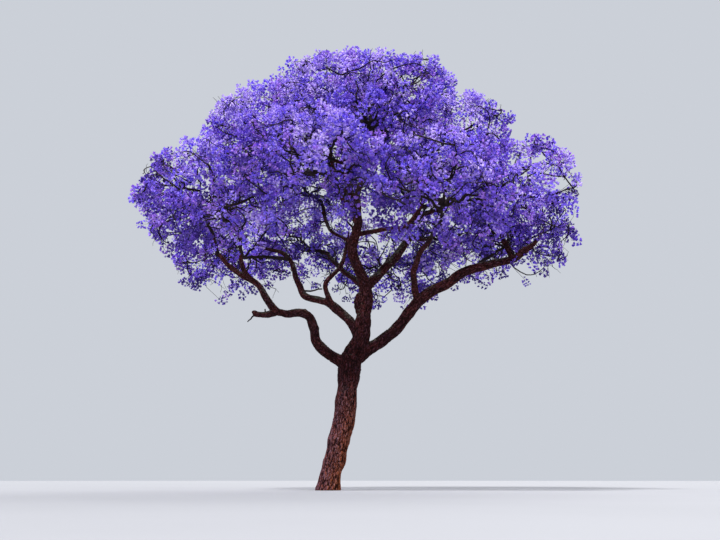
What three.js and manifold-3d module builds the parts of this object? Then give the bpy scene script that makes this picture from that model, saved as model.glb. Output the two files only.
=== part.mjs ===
// A mature street jacaranda in full bloom: a leaning trunk, crooked boughs and a wide umbrella of blossom.
// Millimetres, +Z up. The origin is the middle of the flat cut under the trunk, at ground level.
// +X is the way the longest bough reaches, and +Y is away from somebody who has that bough on the right.
import * as THREE from "three";
import { mergeVertices } from "three/addons/utils/BufferGeometryUtils.js";
import Module from "manifold-3d";

const wasm = await Module();
wasm.setup();
const { Manifold, Mesh } = wasm;

// Driving sizes
const GAP = 0.3; // clearance between pieces that meet
const SINK = 70; // how far back a limb starts inside the one that it grows on from
const TRUNK_SIDES = 16;
const TRUNK_STEPS = 14;
const BOUGH_SIDES = 7;
const FOOT_FLARE = 0.11; // extra radius at ground level, as a share of the trunk's
const FLARE_HEIGHT = 620; // the flare fades out over this height
const ROOT_RIDGES = 5; // buttress ridges round the foot
const RIDGE_DEPTH = 0.045;
const TRUNK_START = 200; // the trunk's curve starts this far below the cut that ends it

const CROWN = { x: 700, y: 150 }; // the middle of the crown, which the lean carries off the foot
// Blossom masses stand in rings round the crown's middle: how many, how far out, how high, and half sizes.
const RINGS = [
  { name: "outer", count: 10, reach: 4300, height: 7150, wave: 300, wide: 2120, high: 1540, turn: 4 },
  { name: "middle", count: 7, reach: 2750, height: 9150, wave: 260, wide: 1980, high: 1450, turn: 20 },
  { name: "top", count: 4, reach: 1180, height: 10430, wave: 120, wide: 1780, high: 1370, turn: 60 },
];
const SCATTER = { reach: 0.07, turn: 4.5, height: 80, size: 0.06 }; // either way from a ring's values
const CELL_MARGIN = 12; // half the free space between neighbouring masses
const LIMB_CLEARANCE = 14; // free space kept between foliage and any limb
const SAMPLE_PITCH = 90; // between the points of a limb that foliage is tested against
const NEAR_MASS = 1.6; // limbs further out of a mass than this aren't tested
const NEAR_STEM = 150; // nor are they this near to the stem, which grows on from one of them

// How a mass picks its carrier: at one of these shares along a bough, near a point inward of the mass
// and below it, and rather at a tip than at a side. A spot with less climb to the mass is a last choice.
const CARRY = {
  shares: [0.4, 0.55, 0.7, 0.85, 1],
  drop: 2600,
  inward: 0.3,
  climb: 300,
  low: 2000, // what a spot with too little climb costs
  side: 350, // what a spot that isn't a tip costs
};
const RISER = {
  seed: 500, // added to the mass's own
  most: 100, // greatest radius at its foot
  share: 0.62, // of the bough's radius
  extra: 18,
  tip: 56,
  crook: 0.13, // how far it bends aside, as a share of its length
  bend: 0.48,
  touch: 1.12, // it is made where the spot lies further out of the mass than this
  entry: 0.86, // how far out of the mass it ends
};

const STEM = { foot: 52, tip: 42, back: 30, knee: 0.4, hub: 0.12 }; // radii and bend of a mass's stem
const TWIG = { foot: 19, tip: 13, count: 5, reach: 0.5, lowest: -0.45 }; // the twigs that fan out of a stem
const SPRAY = {
  count: 27, // how many a mass aims for
  lowest: -0.78, // sine of the lowest direction
  longest: 1200,
  shortest: 450,
  width: 0.6, // the width, the thickness and the place of the belly are shares of the length
  thickness: 0.34,
  belly: 0.58,
  spacing: 0.17, // between the roots of sprays, as a share of their twig
  apart: 1.5, // least distance between two bellies, as a share of the half width
  sink: 6, // how far a root runs past its twig's middle
};

const BARK = new THREE.MeshStandardMaterial({ color: 0x563430, roughness: 0.95, metalness: 0 });
const BLOSSOM = new THREE.MeshStandardMaterial({ color: 0x6b5cc2, roughness: 0.8, metalness: 0 });

// A limb walks along legs: each is a length, a heading (0 along +X, 90 along +Y) and a rise, in degrees.
const TRUNK_LEGS = [[900, 0, 79], [900, 0, 77.5], [900, 0, 83], [800, 0, 84]];
const TRUNK_RADII = [286, 278];
// Each bough leaves its carrier at a share of that carrier's length.
const BOUGHS = [
  { name: "central_stem", on: "trunk", at: 1, radii: [262, 165], steps: 7,
    legs: [[480, 0, 58], [560, 0, 81], [600, 0, 84], [330, 175, 87]] },
  { name: "right_bough_low", on: "trunk", at: 0.96, radii: [178, 150], steps: 7,
    legs: [[720, -7, 34], [410, -9, 40], [370, -9, 31], [440, -10, 51], [470, -10, 53]] },
  { name: "right_bough_high", on: "right_bough_low", at: 1, radii: [148, 92], steps: 8,
    legs: [[450, -8, 37], [410, -8, 29], [900, -11, 26], [760, -16, 11], [380, -16, 13], [380, -19, 37]] },
  { name: "right_shoot", on: "right_bough_high", at: 0.86, radii: [80, 58], steps: 4,
    legs: [[530, 123, 64], [520, 129, 61], [500, 80, 50]] },
  { name: "left_bough_low", on: "trunk", at: 0.93, radii: [168, 132], steps: 6,
    legs: [[780, 188, 30], [360, 193, 51], [330, 228, 78]] },
  { name: "left_bough_high", on: "left_bough_low", at: 1, radii: [130, 74], steps: 8,
    legs: [[330, 214, 57], [280, 202, 17], [320, 198, -6], [250, 204, 7], [370, 206, -18], [350, 206, 0]] },
  { name: "left_riser", on: "left_bough_high", at: 0.67, radii: [98, 60], steps: 7,
    legs: [[420, 180, 57], [360, 172, 58], [420, 165, 36], [560, 158, 32], [560, 190, 42]] },
  { name: "mid_left_bough", on: "central_stem", at: 0.28, radii: [152, 116], steps: 6,
    legs: [[500, 152, 62], [620, 140, 40], [590, 141, 36]] },
  { name: "mid_left_outer", on: "mid_left_bough", at: 1, radii: [104, 54], steps: 8,
    legs: [[320, 140, 10], [450, 151, 23], [490, 131, 57], [550, 132, 61], [540, 143, 51], [700, 152, 22]] },
  { name: "mid_left_inner", on: "mid_left_bough", at: 0.75, radii: [84, 48], steps: 6,
    legs: [[620, 182, 64], [180, 60, 80], [520, 0, 47], [460, 32, 66], [420, 20, 80]] },
  { name: "front_bough_low", on: "central_stem", at: 1, radii: [150, 118], steps: 6,
    legs: [[620, 236, 52], [480, 240, 50], [460, 282, 54], [330, 300, 50]] },
  { name: "front_bough_high", on: "front_bough_low", at: 1, radii: [104, 60], steps: 6,
    legs: [[520, 265, 20], [700, 250, 32], [700, 272, 30]] },
  { name: "front_right_branch", on: "front_bough_low", at: 0.82, radii: [66, 48], steps: 5,
    legs: [[720, 338, 6], [690, 332, 3], [560, 310, 30], [500, 300, 45]] },
  { name: "leader", on: "front_bough_low", at: 0.98, radii: [96, 60], steps: 6,
    legs: [[520, 150, 66], [620, 110, 70], [700, 60, 66]] },
  { name: "back_right_low", on: "central_stem", at: 0.98, radii: [132, 104], steps: 6,
    legs: [[720, 36, 44], [680, 36, 41], [550, 51, 46], [460, 40, 48]] },
  { name: "back_right_high", on: "back_right_low", at: 1, radii: [100, 58], steps: 5,
    legs: [[420, 90, 61], [630, 39, 40], [940, 27, 23]] },
  { name: "back_bough_low", on: "central_stem", at: 0.5, radii: [150, 114], steps: 6,
    legs: [[620, 85, 38], [700, 95, 38], [700, 80, 45]] },
  { name: "back_left_bough", on: "back_bough_low", at: 1, radii: [104, 58], steps: 6,
    legs: [[700, 120, 35], [800, 138, 33], [700, 120, 42]] },
  { name: "back_mid_bough", on: "back_bough_low", at: 0.92, radii: [100, 58], steps: 6,
    legs: [[700, 66, 35], [800, 55, 30], [800, 75, 38]] },
];

// Small tools

// Numbers from 0 to 1 that are the same on every run.
function seeded(seed) {
  let state = seed >>> 0;
  return () => {
    state = (state + 0x6d2b79f5) >>> 0;
    let t = state;
    t = Math.imul(t ^ (t >>> 15), t | 1);
    t ^= t + Math.imul(t ^ (t >>> 7), t | 61);
    return ((t ^ (t >>> 14)) >>> 0) / 4294967296;
  };
}

function heading(azimuth, rise) {
  const a = THREE.MathUtils.degToRad(azimuth);
  const e = THREE.MathUtils.degToRad(rise);
  return new THREE.Vector3(Math.cos(e) * Math.cos(a), Math.cos(e) * Math.sin(a), Math.sin(e));
}

function walk(start, legs) {
  const points = [start.clone()];
  for (const [length, azimuth, rise] of legs) {
    points.push(points.at(-1).clone().addScaledVector(heading(azimuth, rise), length));
  }
  return points;
}

// Two unit vectors square to a direction and to each other.
function across(direction) {
  const other = Math.abs(direction.z) < 0.9 ? new THREE.Vector3(0, 0, 1) : new THREE.Vector3(1, 0, 0);
  const side = new THREE.Vector3().crossVectors(direction, other).normalize();
  return [side, new THREE.Vector3().crossVectors(direction, side)];
}

// A closed geometry as a solid: its seams are merged, so only its positions count.
function toSolid(geometry) {
  const bare = geometry.clone();
  bare.deleteAttribute("normal");
  bare.deleteAttribute("uv");
  const merged = mergeVertices(bare, 1e-3);
  return new Manifold(
    new Mesh({
      numProp: 3,
      vertProperties: new Float32Array(merged.attributes.position.array),
      triVerts: new Uint32Array(merged.index.array),
    }),
  );
}

function toMesh(name, solid, material) {
  const made = solid.getMesh();
  const geometry = new THREE.BufferGeometry();
  geometry.setAttribute("position", new THREE.BufferAttribute(new Float32Array(made.vertProperties), 3));
  geometry.setIndex(new THREE.BufferAttribute(new Uint32Array(made.triVerts), 1));
  geometry.computeVertexNormals();
  const mesh = new THREE.Mesh(geometry, material);
  mesh.name = name;
  return mesh;
}

// The largest body of a solid, so that no scrap is left by a cut.
function largest(solid) {
  return solid.decompose().reduce((best, body) => (body.volume() > best.volume() ? body : best));
}

// A tapering limb along a smooth curve: a cylinder bent on to it.
class Limb {
  constructor(name, points, radii, sides, steps, shape = () => 1) {
    this.name = name;
    this.curve = new THREE.CatmullRomCurve3(points);
    this.radii = radii;
    this.sides = sides;
    this.steps = steps;
    this.shape = shape; // radius factor at a share of the length and an angle
    this.frames = this.curve.computeFrenetFrames(steps, false);
  }

  radiusAt(share) {
    return THREE.MathUtils.lerp(this.radii[0], this.radii[1], share);
  }

  // The limb as a solid, grown by an amount all round where a neighbour is to be cut clear of it.
  solid(grow = 0) {
    const tube = new THREE.CylinderGeometry(1, 1, 1, this.sides, this.steps);
    const position = tube.attributes.position;
    const point = new THREE.Vector3();
    for (let i = 0; i < position.count; i++) {
      const [x, y, z] = [position.getX(i), position.getY(i), position.getZ(i)];
      const share = y + 0.5;
      const step = Math.round(share * this.steps);
      const tangent = this.frames.tangents[step];
      const normal = this.frames.normals[step];
      const binormal = new THREE.Vector3().crossVectors(normal, tangent);
      const out = Math.hypot(x, z) > 0.5 ? 1 : 0; // 0 at the middle of an end cap
      const radius = (this.radiusAt(share) * this.shape(share, Math.atan2(z, x)) + grow) * out;
      const angle = Math.atan2(z, x);
      this.curve.getPointAt(share, point);
      point.addScaledVector(normal, radius * Math.cos(angle));
      point.addScaledVector(binormal, radius * Math.sin(angle));
      if (step === 0) point.addScaledVector(tangent, -grow);
      if (step === this.steps) point.addScaledVector(tangent, grow);
      position.setXYZ(i, point.x, point.y, point.z);
    }
    return toSolid(tube);
  }

  // Points along the limb with its radius there, for testing what comes near.
  samples() {
    const count = Math.ceil(this.curve.getLength() / SAMPLE_PITCH);
    return Array.from({ length: count + 1 }, (_, i) => ({
      point: this.curve.getPointAt(i / count),
      radius: this.radiusAt(i / count),
    }));
  }
}

// The trunk: its foot is cut flat at ground level and flares into low ridges.
function makeTrunk() {
  const points = walk(new THREE.Vector3(), TRUNK_LEGS);
  const length = TRUNK_START + TRUNK_LEGS.reduce((sum, leg) => sum + leg[0], 0);
  const flare = (share, angle) => {
    const height = Math.max(0, share * length - TRUNK_START);
    const near = Math.max(0, 1 - height / FLARE_HEIGHT) ** 2;
    return 1 + near * (FOOT_FLARE + RIDGE_DEPTH * Math.cos(ROOT_RIDGES * angle));
  };
  points.unshift(heading(TRUNK_LEGS[0][1], TRUNK_LEGS[0][2]).multiplyScalar(-TRUNK_START));
  return new Limb("trunk", points, TRUNK_RADII, TRUNK_SIDES, TRUNK_STEPS, flare);
}

// A bough starts a little back inside its carrier, which it is later cut clear of.
function makeBough(spec, limbs) {
  const carrier = limbs.get(spec.on);
  const points = walk(carrier.curve.getPointAt(spec.at), spec.legs);
  if (spec.at === 1) points[0].addScaledVector(carrier.curve.getTangentAt(1), -SINK);
  return new Limb(spec.name, points, spec.radii, BOUGH_SIDES, spec.steps);
}

// The masses of blossom: where each stands and how large it is.
function placeMasses() {
  const masses = [];
  const random = seeded(11);
  const scatter = (most) => (random() * 2 - 1) * most;
  for (const ring of RINGS) {
    for (let i = 0; i < ring.count; i++) {
      const angle = (i / ring.count) * 360 + ring.turn + scatter(SCATTER.turn);
      const reach = ring.reach * (1 + scatter(SCATTER.reach));
      const height = ring.height + (i % 2 ? 1 : -1) * ring.wave + scatter(SCATTER.height);
      const centre = heading(angle, 0).multiplyScalar(reach);
      centre.add(new THREE.Vector3(CROWN.x, CROWN.y, height));
      const size = 1 + scatter(SCATTER.size);
      const half = new THREE.Vector3(ring.wide, ring.wide, ring.high).multiplyScalar(size);
      masses.push({ name: `${ring.name}_blossom_${i + 1}`, centre, half, seed: 100 + masses.length });
    }
  }
  return masses;
}

// How far out of a mass a point lies: 1 on its surface.
function outness(mass, point) {
  const p = point.clone().sub(mass.centre);
  return Math.hypot(p.x / mass.half.x, p.y / mass.half.y, p.z / mass.half.z);
}

// Whether a point keeps to its mass's own space, between its neighbours.
function inCell(mass, masses, point, margin = CELL_MARGIN) {
  return masses.every((other) => {
    if (other === mass) return true;
    const between = other.centre.clone().sub(mass.centre);
    const share = mass.half.x / (mass.half.x + other.half.x);
    const middle = mass.centre.clone().addScaledVector(between, share);
    return point.clone().sub(middle).dot(between.normalize()) < -margin;
  });
}

// Every place on the boughs where a mass may be carried.
function carrySpots(limbs) {
  const boughs = [...limbs.values()].filter((limb) => !["trunk", "central_stem"].includes(limb.name));
  return boughs.flatMap((limb) =>
    CARRY.shares.map((share) => ({ limb, share, point: limb.curve.getPointAt(share), taken: false })),
  );
}

// A crooked connecting limb from a spot on a bough into a mass.
function makeRiser(mass, spot, out) {
  const random = seeded(mass.seed + RISER.seed);
  const end = mass.centre.clone().lerp(spot.point, RISER.entry / out);
  const length = spot.point.distanceTo(end);
  const middle = spot.point.clone().lerp(end, RISER.bend);
  for (const side of across(end.clone().sub(spot.point).normalize())) {
    middle.addScaledVector(side, (random() * 2 - 1) * RISER.crook * length);
  }
  const foot = Math.min(RISER.most, spot.limb.radiusAt(spot.share) * RISER.share + RISER.extra);
  const name = mass.name.replace("blossom", "limb");
  return new Limb(name, [spot.point, middle, end], [foot, RISER.tip], 6, 3);
}

// Picks where each mass is carried, the lowest masses first, and returns the connecting limbs.
function connect(masses, limbs) {
  const risers = [];
  const spots = carrySpots(limbs);
  for (const mass of [...masses].sort((a, b) => a.centre.z - b.centre.z)) {
    const inward = new THREE.Vector3(CROWN.x, CROWN.y, mass.centre.z - CARRY.drop);
    const wanted = mass.centre.clone().lerp(inward, CARRY.inward);
    const cost = ({ point, share }) =>
      point.distanceTo(wanted) +
      (mass.centre.z - point.z < CARRY.climb ? CARRY.low : 0) +
      (share < 1 ? CARRY.side : 0);
    const spot = spots.filter(({ taken }) => !taken).reduce((a, b) => (cost(b) < cost(a) ? b : a));
    spot.taken = true;
    const out = outness(mass, spot.point);
    if (out > RISER.touch) {
      mass.carrier = makeRiser(mass, spot, out);
      mass.base = mass.carrier.curve.getPointAt(1);
      mass.direction = mass.carrier.curve.getTangentAt(1);
      risers.push(mass.carrier);
    } else {
      mass.carrier = spot.limb;
      mass.base = spot.point.clone();
      mass.direction = mass.centre.clone().sub(spot.point).normalize();
    }
  }
  return risers;
}

// Foliage

function hull(points) {
  return Manifold.hull(points.map((p) => [p.x, p.y, p.z]));
}

// Corners spread round a point, square to a direction.
function ringOf(centre, direction, radius, count) {
  const [u, v] = across(direction);
  return Array.from({ length: count }, (_, i) => {
    const angle = (i / count) * Math.PI * 2;
    return centre
      .clone()
      .addScaledVector(u, radius * Math.cos(angle))
      .addScaledVector(v, radius * Math.sin(angle));
  });
}

// A three-sided twig between two points.
function twigSolid(from, to) {
  const along = to.clone().sub(from).normalize();
  return hull([...ringOf(from, along, TWIG.foot, 3), ...ringOf(to, along, TWIG.tip, 3)]);
}

// The corners of a spray of blossom: its root, its tip, the ends of its width and the crest of its back.
function sprayCorners(root, tip, turn) {
  const along = tip.clone().sub(root);
  const length = along.length();
  along.divideScalar(length);
  const [u, v] = across(along);
  const wide = u.clone().multiplyScalar(Math.cos(turn)).addScaledVector(v, Math.sin(turn));
  const thin = new THREE.Vector3().crossVectors(along, wide);
  const belly = root.clone().addScaledVector(along, length * SPRAY.belly);
  const half = (length * SPRAY.width) / 2;
  const depth = length * SPRAY.thickness;
  return [
    root,
    tip,
    belly.clone().addScaledVector(wide, half).addScaledVector(thin, -depth / 3),
    belly.clone().addScaledVector(wide, -half).addScaledVector(thin, -depth / 3),
    belly.clone().addScaledVector(thin, (depth * 2) / 3),
  ];
}

// The longest spray that fits between a root and its goal, or null: it keeps to its mass's space,
// off every limb, and clear of the bellies of the sprays before it.
function fitSpray(root, goal, turn, bellies, inside, near) {
  const aim = goal.clone().sub(root);
  const full = Math.min(aim.length(), SPRAY.longest);
  aim.normalize();
  for (const shrink of [1, 0.85, 0.7, 0.58]) {
    const length = full * shrink;
    if (length < SPRAY.shortest) return null;
    const tip = root.clone().addScaledVector(aim, length);
    const corners = sprayCorners(root.clone().addScaledVector(aim, -SPRAY.sink), tip, turn);
    const belly = root.clone().lerp(tip, SPRAY.belly);
    const half = (length * SPRAY.width) / 2;
    if (!inside(corners.slice(1)) || !clearOfLimbs(root, tip, half, near)) continue;
    if (bellies.some((other) => other.distanceTo(belly) < half * SPRAY.apart)) continue;
    bellies.push(belly);
    return corners;
  }
  return null;
}

// Whether a line with some width round it keeps clear of the limbs near it.
function clearOfLimbs(from, to, width, near) {
  const line = new THREE.Line3(from, to);
  const closest = new THREE.Vector3();
  return near.every(({ point, radius }) => {
    line.closestPointToPoint(point, true, closest);
    return closest.distanceTo(point) > radius + width + LIMB_CLEARANCE;
  });
}

// Directions spread evenly over a ball, from its foot to its crest.
function evenDirections(count, lowest, turn) {
  const golden = Math.PI * (3 - Math.sqrt(5));
  return Array.from({ length: count }, (_, i) => {
    const z = THREE.MathUtils.lerp(1 - 1 / count, lowest, (i + 0.5) / count);
    const around = Math.sqrt(1 - z * z);
    return new THREE.Vector3(around * Math.cos(golden * i + turn), around * Math.sin(golden * i + turn), z);
  });
}

// One mass: a stem runs from its carrier to the hub, twigs fan out of it, and sprays stand on the twigs.
function growMass(mass, masses, limbs) {
  const random = seeded(mass.seed);
  const scale = (direction, share) =>
    mass.centre.clone().add(direction.clone().multiply(mass.half).multiplyScalar(share));
  const isNear = (point) => outness(mass, point) < NEAR_MASS && point.distanceTo(mass.base) > NEAR_STEM;
  const near = [...limbs].flatMap((limb) => limb.samples().filter(({ point }) => isNear(point)));
  const inside = (points) => points.every((p) => inCell(mass, masses, p));
  const hub = mass.centre.clone().add(new THREE.Vector3(0, 0, -STEM.hub * mass.half.z));
  const knee = mass.base.clone().addScaledVector(mass.direction, mass.base.distanceTo(hub) * STEM.knee);
  const back = mass.base.clone().addScaledVector(mass.direction, -STEM.back);
  const parts = [new Limb("stem", [back, knee, hub], [STEM.foot, STEM.tip], 3, 2).solid()];
  const twigs = [];
  for (const direction of evenDirections(TWIG.count, TWIG.lowest, random() * 6)) {
    const end = scale(direction, TWIG.reach * (0.9 + random() * 0.2));
    const start = knee.clone().lerp(hub, 0.55 + random() * 0.4);
    if (!inside([end]) || !clearOfLimbs(start, end, TWIG.foot, near)) continue;
    twigs.push({ start, end, goals: [] });
    parts.push(twigSolid(start, end));
  }
  for (const direction of evenDirections(SPRAY.count, SPRAY.lowest, random() * 6)) {
    let share = 0.92 + random() * 0.08;
    while (share > TWIG.reach && !inside([scale(direction, share)])) share -= 0.04;
    const goal = scale(direction, share);
    const twig = twigs.reduce((a, b) => (b.end.distanceTo(goal) < a.end.distanceTo(goal) ? b : a));
    twig.goals.push({ goal, turn: random() * Math.PI });
  }
  const bellies = [];
  for (const twig of twigs) {
    twig.goals.sort((a, b) => twig.end.distanceTo(a.goal) - twig.end.distanceTo(b.goal));
    twig.goals.forEach(({ goal, turn }, order) => {
      const root = twig.end.clone().lerp(twig.start, Math.min(0.85, SPRAY.spacing * order));
      const spray = fitSpray(root, goal, turn, bellies, inside, near);
      if (spray) parts.push(hull(spray));
    });
  }
  const whole = Manifold.union(parts);
  return largest(whole.subtract(mass.carrier.solid(GAP)).simplify(0.4));
}

// Assembly

const limbs = new Map([["trunk", makeTrunk()]]);
for (const spec of BOUGHS) limbs.set(spec.name, makeBough(spec, limbs));
const masses = placeMasses();
for (const riser of connect(masses, limbs)) limbs.set(riser.name, riser);

const tree = new THREE.Group();
const grown = [];
for (const limb of limbs.values()) {
  let solid = limb.solid();
  if (limb.name === "trunk") solid = solid.trimByPlane([0, 0, 1], 0);
  for (const other of grown) solid = solid.subtract(other.solid(GAP));
  grown.push(limb);
  tree.add(toMesh(limb.name, largest(solid.simplify(0.2)), BARK));
}
for (const mass of masses) tree.add(toMesh(mass.name, growMass(mass, masses, limbs.values()), BLOSSOM));

export default tree;
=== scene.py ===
"""A mature street jacaranda in full bloom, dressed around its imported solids.

Metres, +Z up, with the origin at the flat cut under the trunk. The limbs follow the legs of the solids and
are fused into one skin of fissured bark. Each blossom mass is grown again by the rule that made its solid,
and is carried on from its sprays to finer twigs, panicles, five-lobed flowers and buds.
"""

from __future__ import annotations

import logging
import math
from dataclasses import dataclass, field
from enum import Enum
from typing import Sequence

import bmesh
import bpy
import numpy as np
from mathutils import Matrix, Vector, noise

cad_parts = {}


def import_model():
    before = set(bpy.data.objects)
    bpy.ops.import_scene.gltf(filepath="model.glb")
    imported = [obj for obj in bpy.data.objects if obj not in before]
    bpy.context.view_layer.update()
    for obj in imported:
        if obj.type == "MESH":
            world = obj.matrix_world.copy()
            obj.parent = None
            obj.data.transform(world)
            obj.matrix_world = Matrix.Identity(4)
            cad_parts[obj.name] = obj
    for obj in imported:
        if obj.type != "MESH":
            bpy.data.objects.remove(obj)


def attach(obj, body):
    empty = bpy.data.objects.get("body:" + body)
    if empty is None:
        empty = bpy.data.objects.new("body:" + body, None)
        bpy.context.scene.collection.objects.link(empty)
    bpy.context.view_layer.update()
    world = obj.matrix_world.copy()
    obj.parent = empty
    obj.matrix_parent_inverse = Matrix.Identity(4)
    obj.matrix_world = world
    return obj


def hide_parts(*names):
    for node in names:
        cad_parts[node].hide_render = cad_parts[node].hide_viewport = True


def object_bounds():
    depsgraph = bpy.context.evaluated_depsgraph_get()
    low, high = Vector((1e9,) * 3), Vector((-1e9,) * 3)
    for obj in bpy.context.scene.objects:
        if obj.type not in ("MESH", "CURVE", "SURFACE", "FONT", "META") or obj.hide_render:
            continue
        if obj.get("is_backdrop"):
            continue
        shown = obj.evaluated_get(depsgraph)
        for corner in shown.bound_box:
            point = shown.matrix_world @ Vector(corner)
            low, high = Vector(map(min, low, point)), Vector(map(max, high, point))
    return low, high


log = logging.getLogger("jacaranda")

Array = np.ndarray
Random = np.random.Generator
Mesh = tuple[Array, Array]
Leg = tuple[float, float, float]
Pair = tuple[float, float]
Colour = tuple[int, int, int]
Object = bpy.types.Object
Material = bpy.types.Material
NodeTree = bpy.types.NodeTree
Node = bpy.types.Node
Socket = bpy.types.NodeSocket
UP = np.array([0.0, 0.0, 1.0])
EAST = np.array([1.0, 0.0, 0.0])
WHOLE_TURN = 2 * math.pi
NOISE_SEED = 3


# Driving sizes of the limbs


@dataclass(frozen=True)
class Bough:
    """How a limb grows: its carrier, the share of that at which it leaves, its radii and its legs.

    A leg is a length, a heading (0 along +X, 90 along +Y) and a rise, both in degrees.
    """

    name: str
    on: str
    at: float
    radii: tuple[float, float]
    legs: tuple[Leg, ...]


TRUNK_LEGS: tuple[Leg, ...] = ((0.9, 0, 79), (0.9, 0, 77.5), (0.9, 0, 83), (0.8, 0, 84))
TRUNK_RADII = (0.286, 0.278)
TRUNK_START = 0.2
SINK = 0.07

BOUGHS = (
    Bough("central_stem", "trunk", 1, (0.262, 0.165), (
        (0.48, 0, 58), (0.56, 0, 81), (0.6, 0, 84), (0.33, 175, 87))),
    Bough("right_bough_low", "trunk", 0.96, (0.178, 0.15), (
        (0.72, -7, 34), (0.41, -9, 40), (0.37, -9, 31), (0.44, -10, 51), (0.47, -10, 53))),
    Bough("right_bough_high", "right_bough_low", 1, (0.148, 0.092), (
        (0.45, -8, 37), (0.41, -8, 29), (0.9, -11, 26), (0.76, -16, 11), (0.38, -16, 13), (0.38, -19, 37))),
    Bough("right_shoot", "right_bough_high", 0.86, (0.08, 0.058), (
        (0.53, 123, 64), (0.52, 129, 61), (0.5, 80, 50))),
    Bough("left_bough_low", "trunk", 0.93, (0.168, 0.132), (
        (0.78, 188, 30), (0.36, 193, 51), (0.33, 228, 78))),
    Bough("left_bough_high", "left_bough_low", 1, (0.13, 0.074), (
        (0.33, 214, 57), (0.28, 202, 17), (0.32, 198, -6), (0.25, 204, 7), (0.37, 206, -18), (0.35, 206, 0))),
    Bough("left_riser", "left_bough_high", 0.67, (0.098, 0.06), (
        (0.42, 180, 57), (0.36, 172, 58), (0.42, 165, 36), (0.56, 158, 32), (0.56, 190, 42))),
    Bough("mid_left_bough", "central_stem", 0.28, (0.152, 0.116), (
        (0.5, 152, 62), (0.62, 140, 40), (0.59, 141, 36))),
    Bough("mid_left_outer", "mid_left_bough", 1, (0.104, 0.054), (
        (0.32, 140, 10), (0.45, 151, 23), (0.49, 131, 57), (0.55, 132, 61), (0.54, 143, 51), (0.7, 152, 22))),
    Bough("mid_left_inner", "mid_left_bough", 0.75, (0.084, 0.048), (
        (0.62, 182, 64), (0.18, 60, 80), (0.52, 0, 47), (0.46, 32, 66), (0.42, 20, 80))),
    Bough("front_bough_low", "central_stem", 1, (0.15, 0.118), (
        (0.62, 236, 52), (0.48, 240, 50), (0.46, 282, 54), (0.33, 300, 50))),
    Bough("front_bough_high", "front_bough_low", 1, (0.104, 0.06), (
        (0.52, 265, 20), (0.7, 250, 32), (0.7, 272, 30))),
    Bough("front_right_branch", "front_bough_low", 0.82, (0.066, 0.048), (
        (0.72, 338, 6), (0.69, 332, 3), (0.56, 310, 30), (0.5, 300, 45))),
    Bough("leader", "front_bough_low", 0.98, (0.096, 0.06), (
        (0.52, 150, 66), (0.62, 110, 70), (0.7, 60, 66))),
    Bough("back_right_low", "central_stem", 0.98, (0.132, 0.104), (
        (0.72, 36, 44), (0.68, 36, 41), (0.55, 51, 46), (0.46, 40, 48))),
    Bough("back_right_high", "back_right_low", 1, (0.1, 0.058), (
        (0.42, 90, 61), (0.63, 39, 40), (0.94, 27, 23))),
    Bough("back_bough_low", "central_stem", 0.5, (0.15, 0.114), (
        (0.62, 85, 38), (0.7, 95, 38), (0.7, 80, 45))),
    Bough("back_left_bough", "back_bough_low", 1, (0.104, 0.058), (
        (0.7, 120, 35), (0.8, 138, 33), (0.7, 120, 42))),
    Bough("back_mid_bough", "back_bough_low", 0.92, (0.1, 0.058), (
        (0.7, 66, 35), (0.8, 55, 30), (0.8, 75, 38))),
)


@dataclass(frozen=True)
class Ring:
    """A ring of blossom masses: how many, how far out, how high, and their half sizes."""

    name: str
    count: int
    reach: float
    height: float
    wave: float
    wide: float
    high: float
    turn: float


@dataclass(frozen=True)
class CrownRule:
    """The sizes by which masses are placed, carried and filled, as in the solids."""

    middle: tuple[float, float] = (0.7, 0.15)
    rings: tuple[Ring, ...] = (
        Ring("outer", 10, 4.3, 7.15, 0.3, 2.12, 1.54, 4),
        Ring("middle", 7, 2.75, 9.15, 0.26, 1.98, 1.45, 20),
        Ring("top", 4, 1.18, 10.43, 0.12, 1.78, 1.37, 60),
    )
    scatter_reach: float = 0.07
    scatter_turn: float = 4.5
    scatter_height: float = 0.08
    scatter_size: float = 0.06
    cell_margin: float = 0.012
    limb_clearance: float = 0.014
    carry_shares: tuple[float, ...] = (0.4, 0.55, 0.7, 0.85, 1.0)
    carry_drop: float = 2.6
    carry_inward: float = 0.3
    carry_climb: float = 0.3
    carry_low: float = 2.0
    carry_side: float = 0.35
    riser_most: float = 0.1
    riser_share: float = 0.62
    riser_extra: float = 0.018
    riser_tip: float = 0.056
    riser_crook: float = 0.13
    riser_bend: float = 0.48
    riser_touch: float = 1.12
    riser_entry: float = 0.86
    stem_knee: float = 0.4
    stem_hub: float = 0.12
    twig_count: int = 5
    twig_reach: float = 0.5
    twig_lowest: float = -0.45
    twig_foot: float = 0.019
    spray_count: int = 27
    spray_lowest: float = -0.78
    spray_longest: float = 1.2
    spray_shortest: float = 0.45
    spray_width: float = 0.6
    spray_thickness: float = 0.34
    spray_belly: float = 0.58
    spray_spacing: float = 0.17
    spray_apart: float = 1.5
    spray_sink: float = 0.006
    place_seed: int = 11
    mass_seed: int = 100
    riser_seed: int = 500
    riser_collar: float = 0.2
    near_out: float = 1.6
    near_base: float = 0.15
    turn_most: float = 6.0
    twig_stretch: Pair = (0.9, 0.2)
    twig_leaves: Pair = (0.55, 0.4)
    spray_out: Pair = (0.92, 0.08)
    spray_step: float = 0.04
    spray_furthest: float = 0.85
    spray_shrinks: tuple[float, ...] = (1, 0.85, 0.7, 0.58)
    sample_pitch: float = 0.09


RULE = CrownRule()
BOUGH_COLLAR = 0.28


# Small tools


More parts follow.
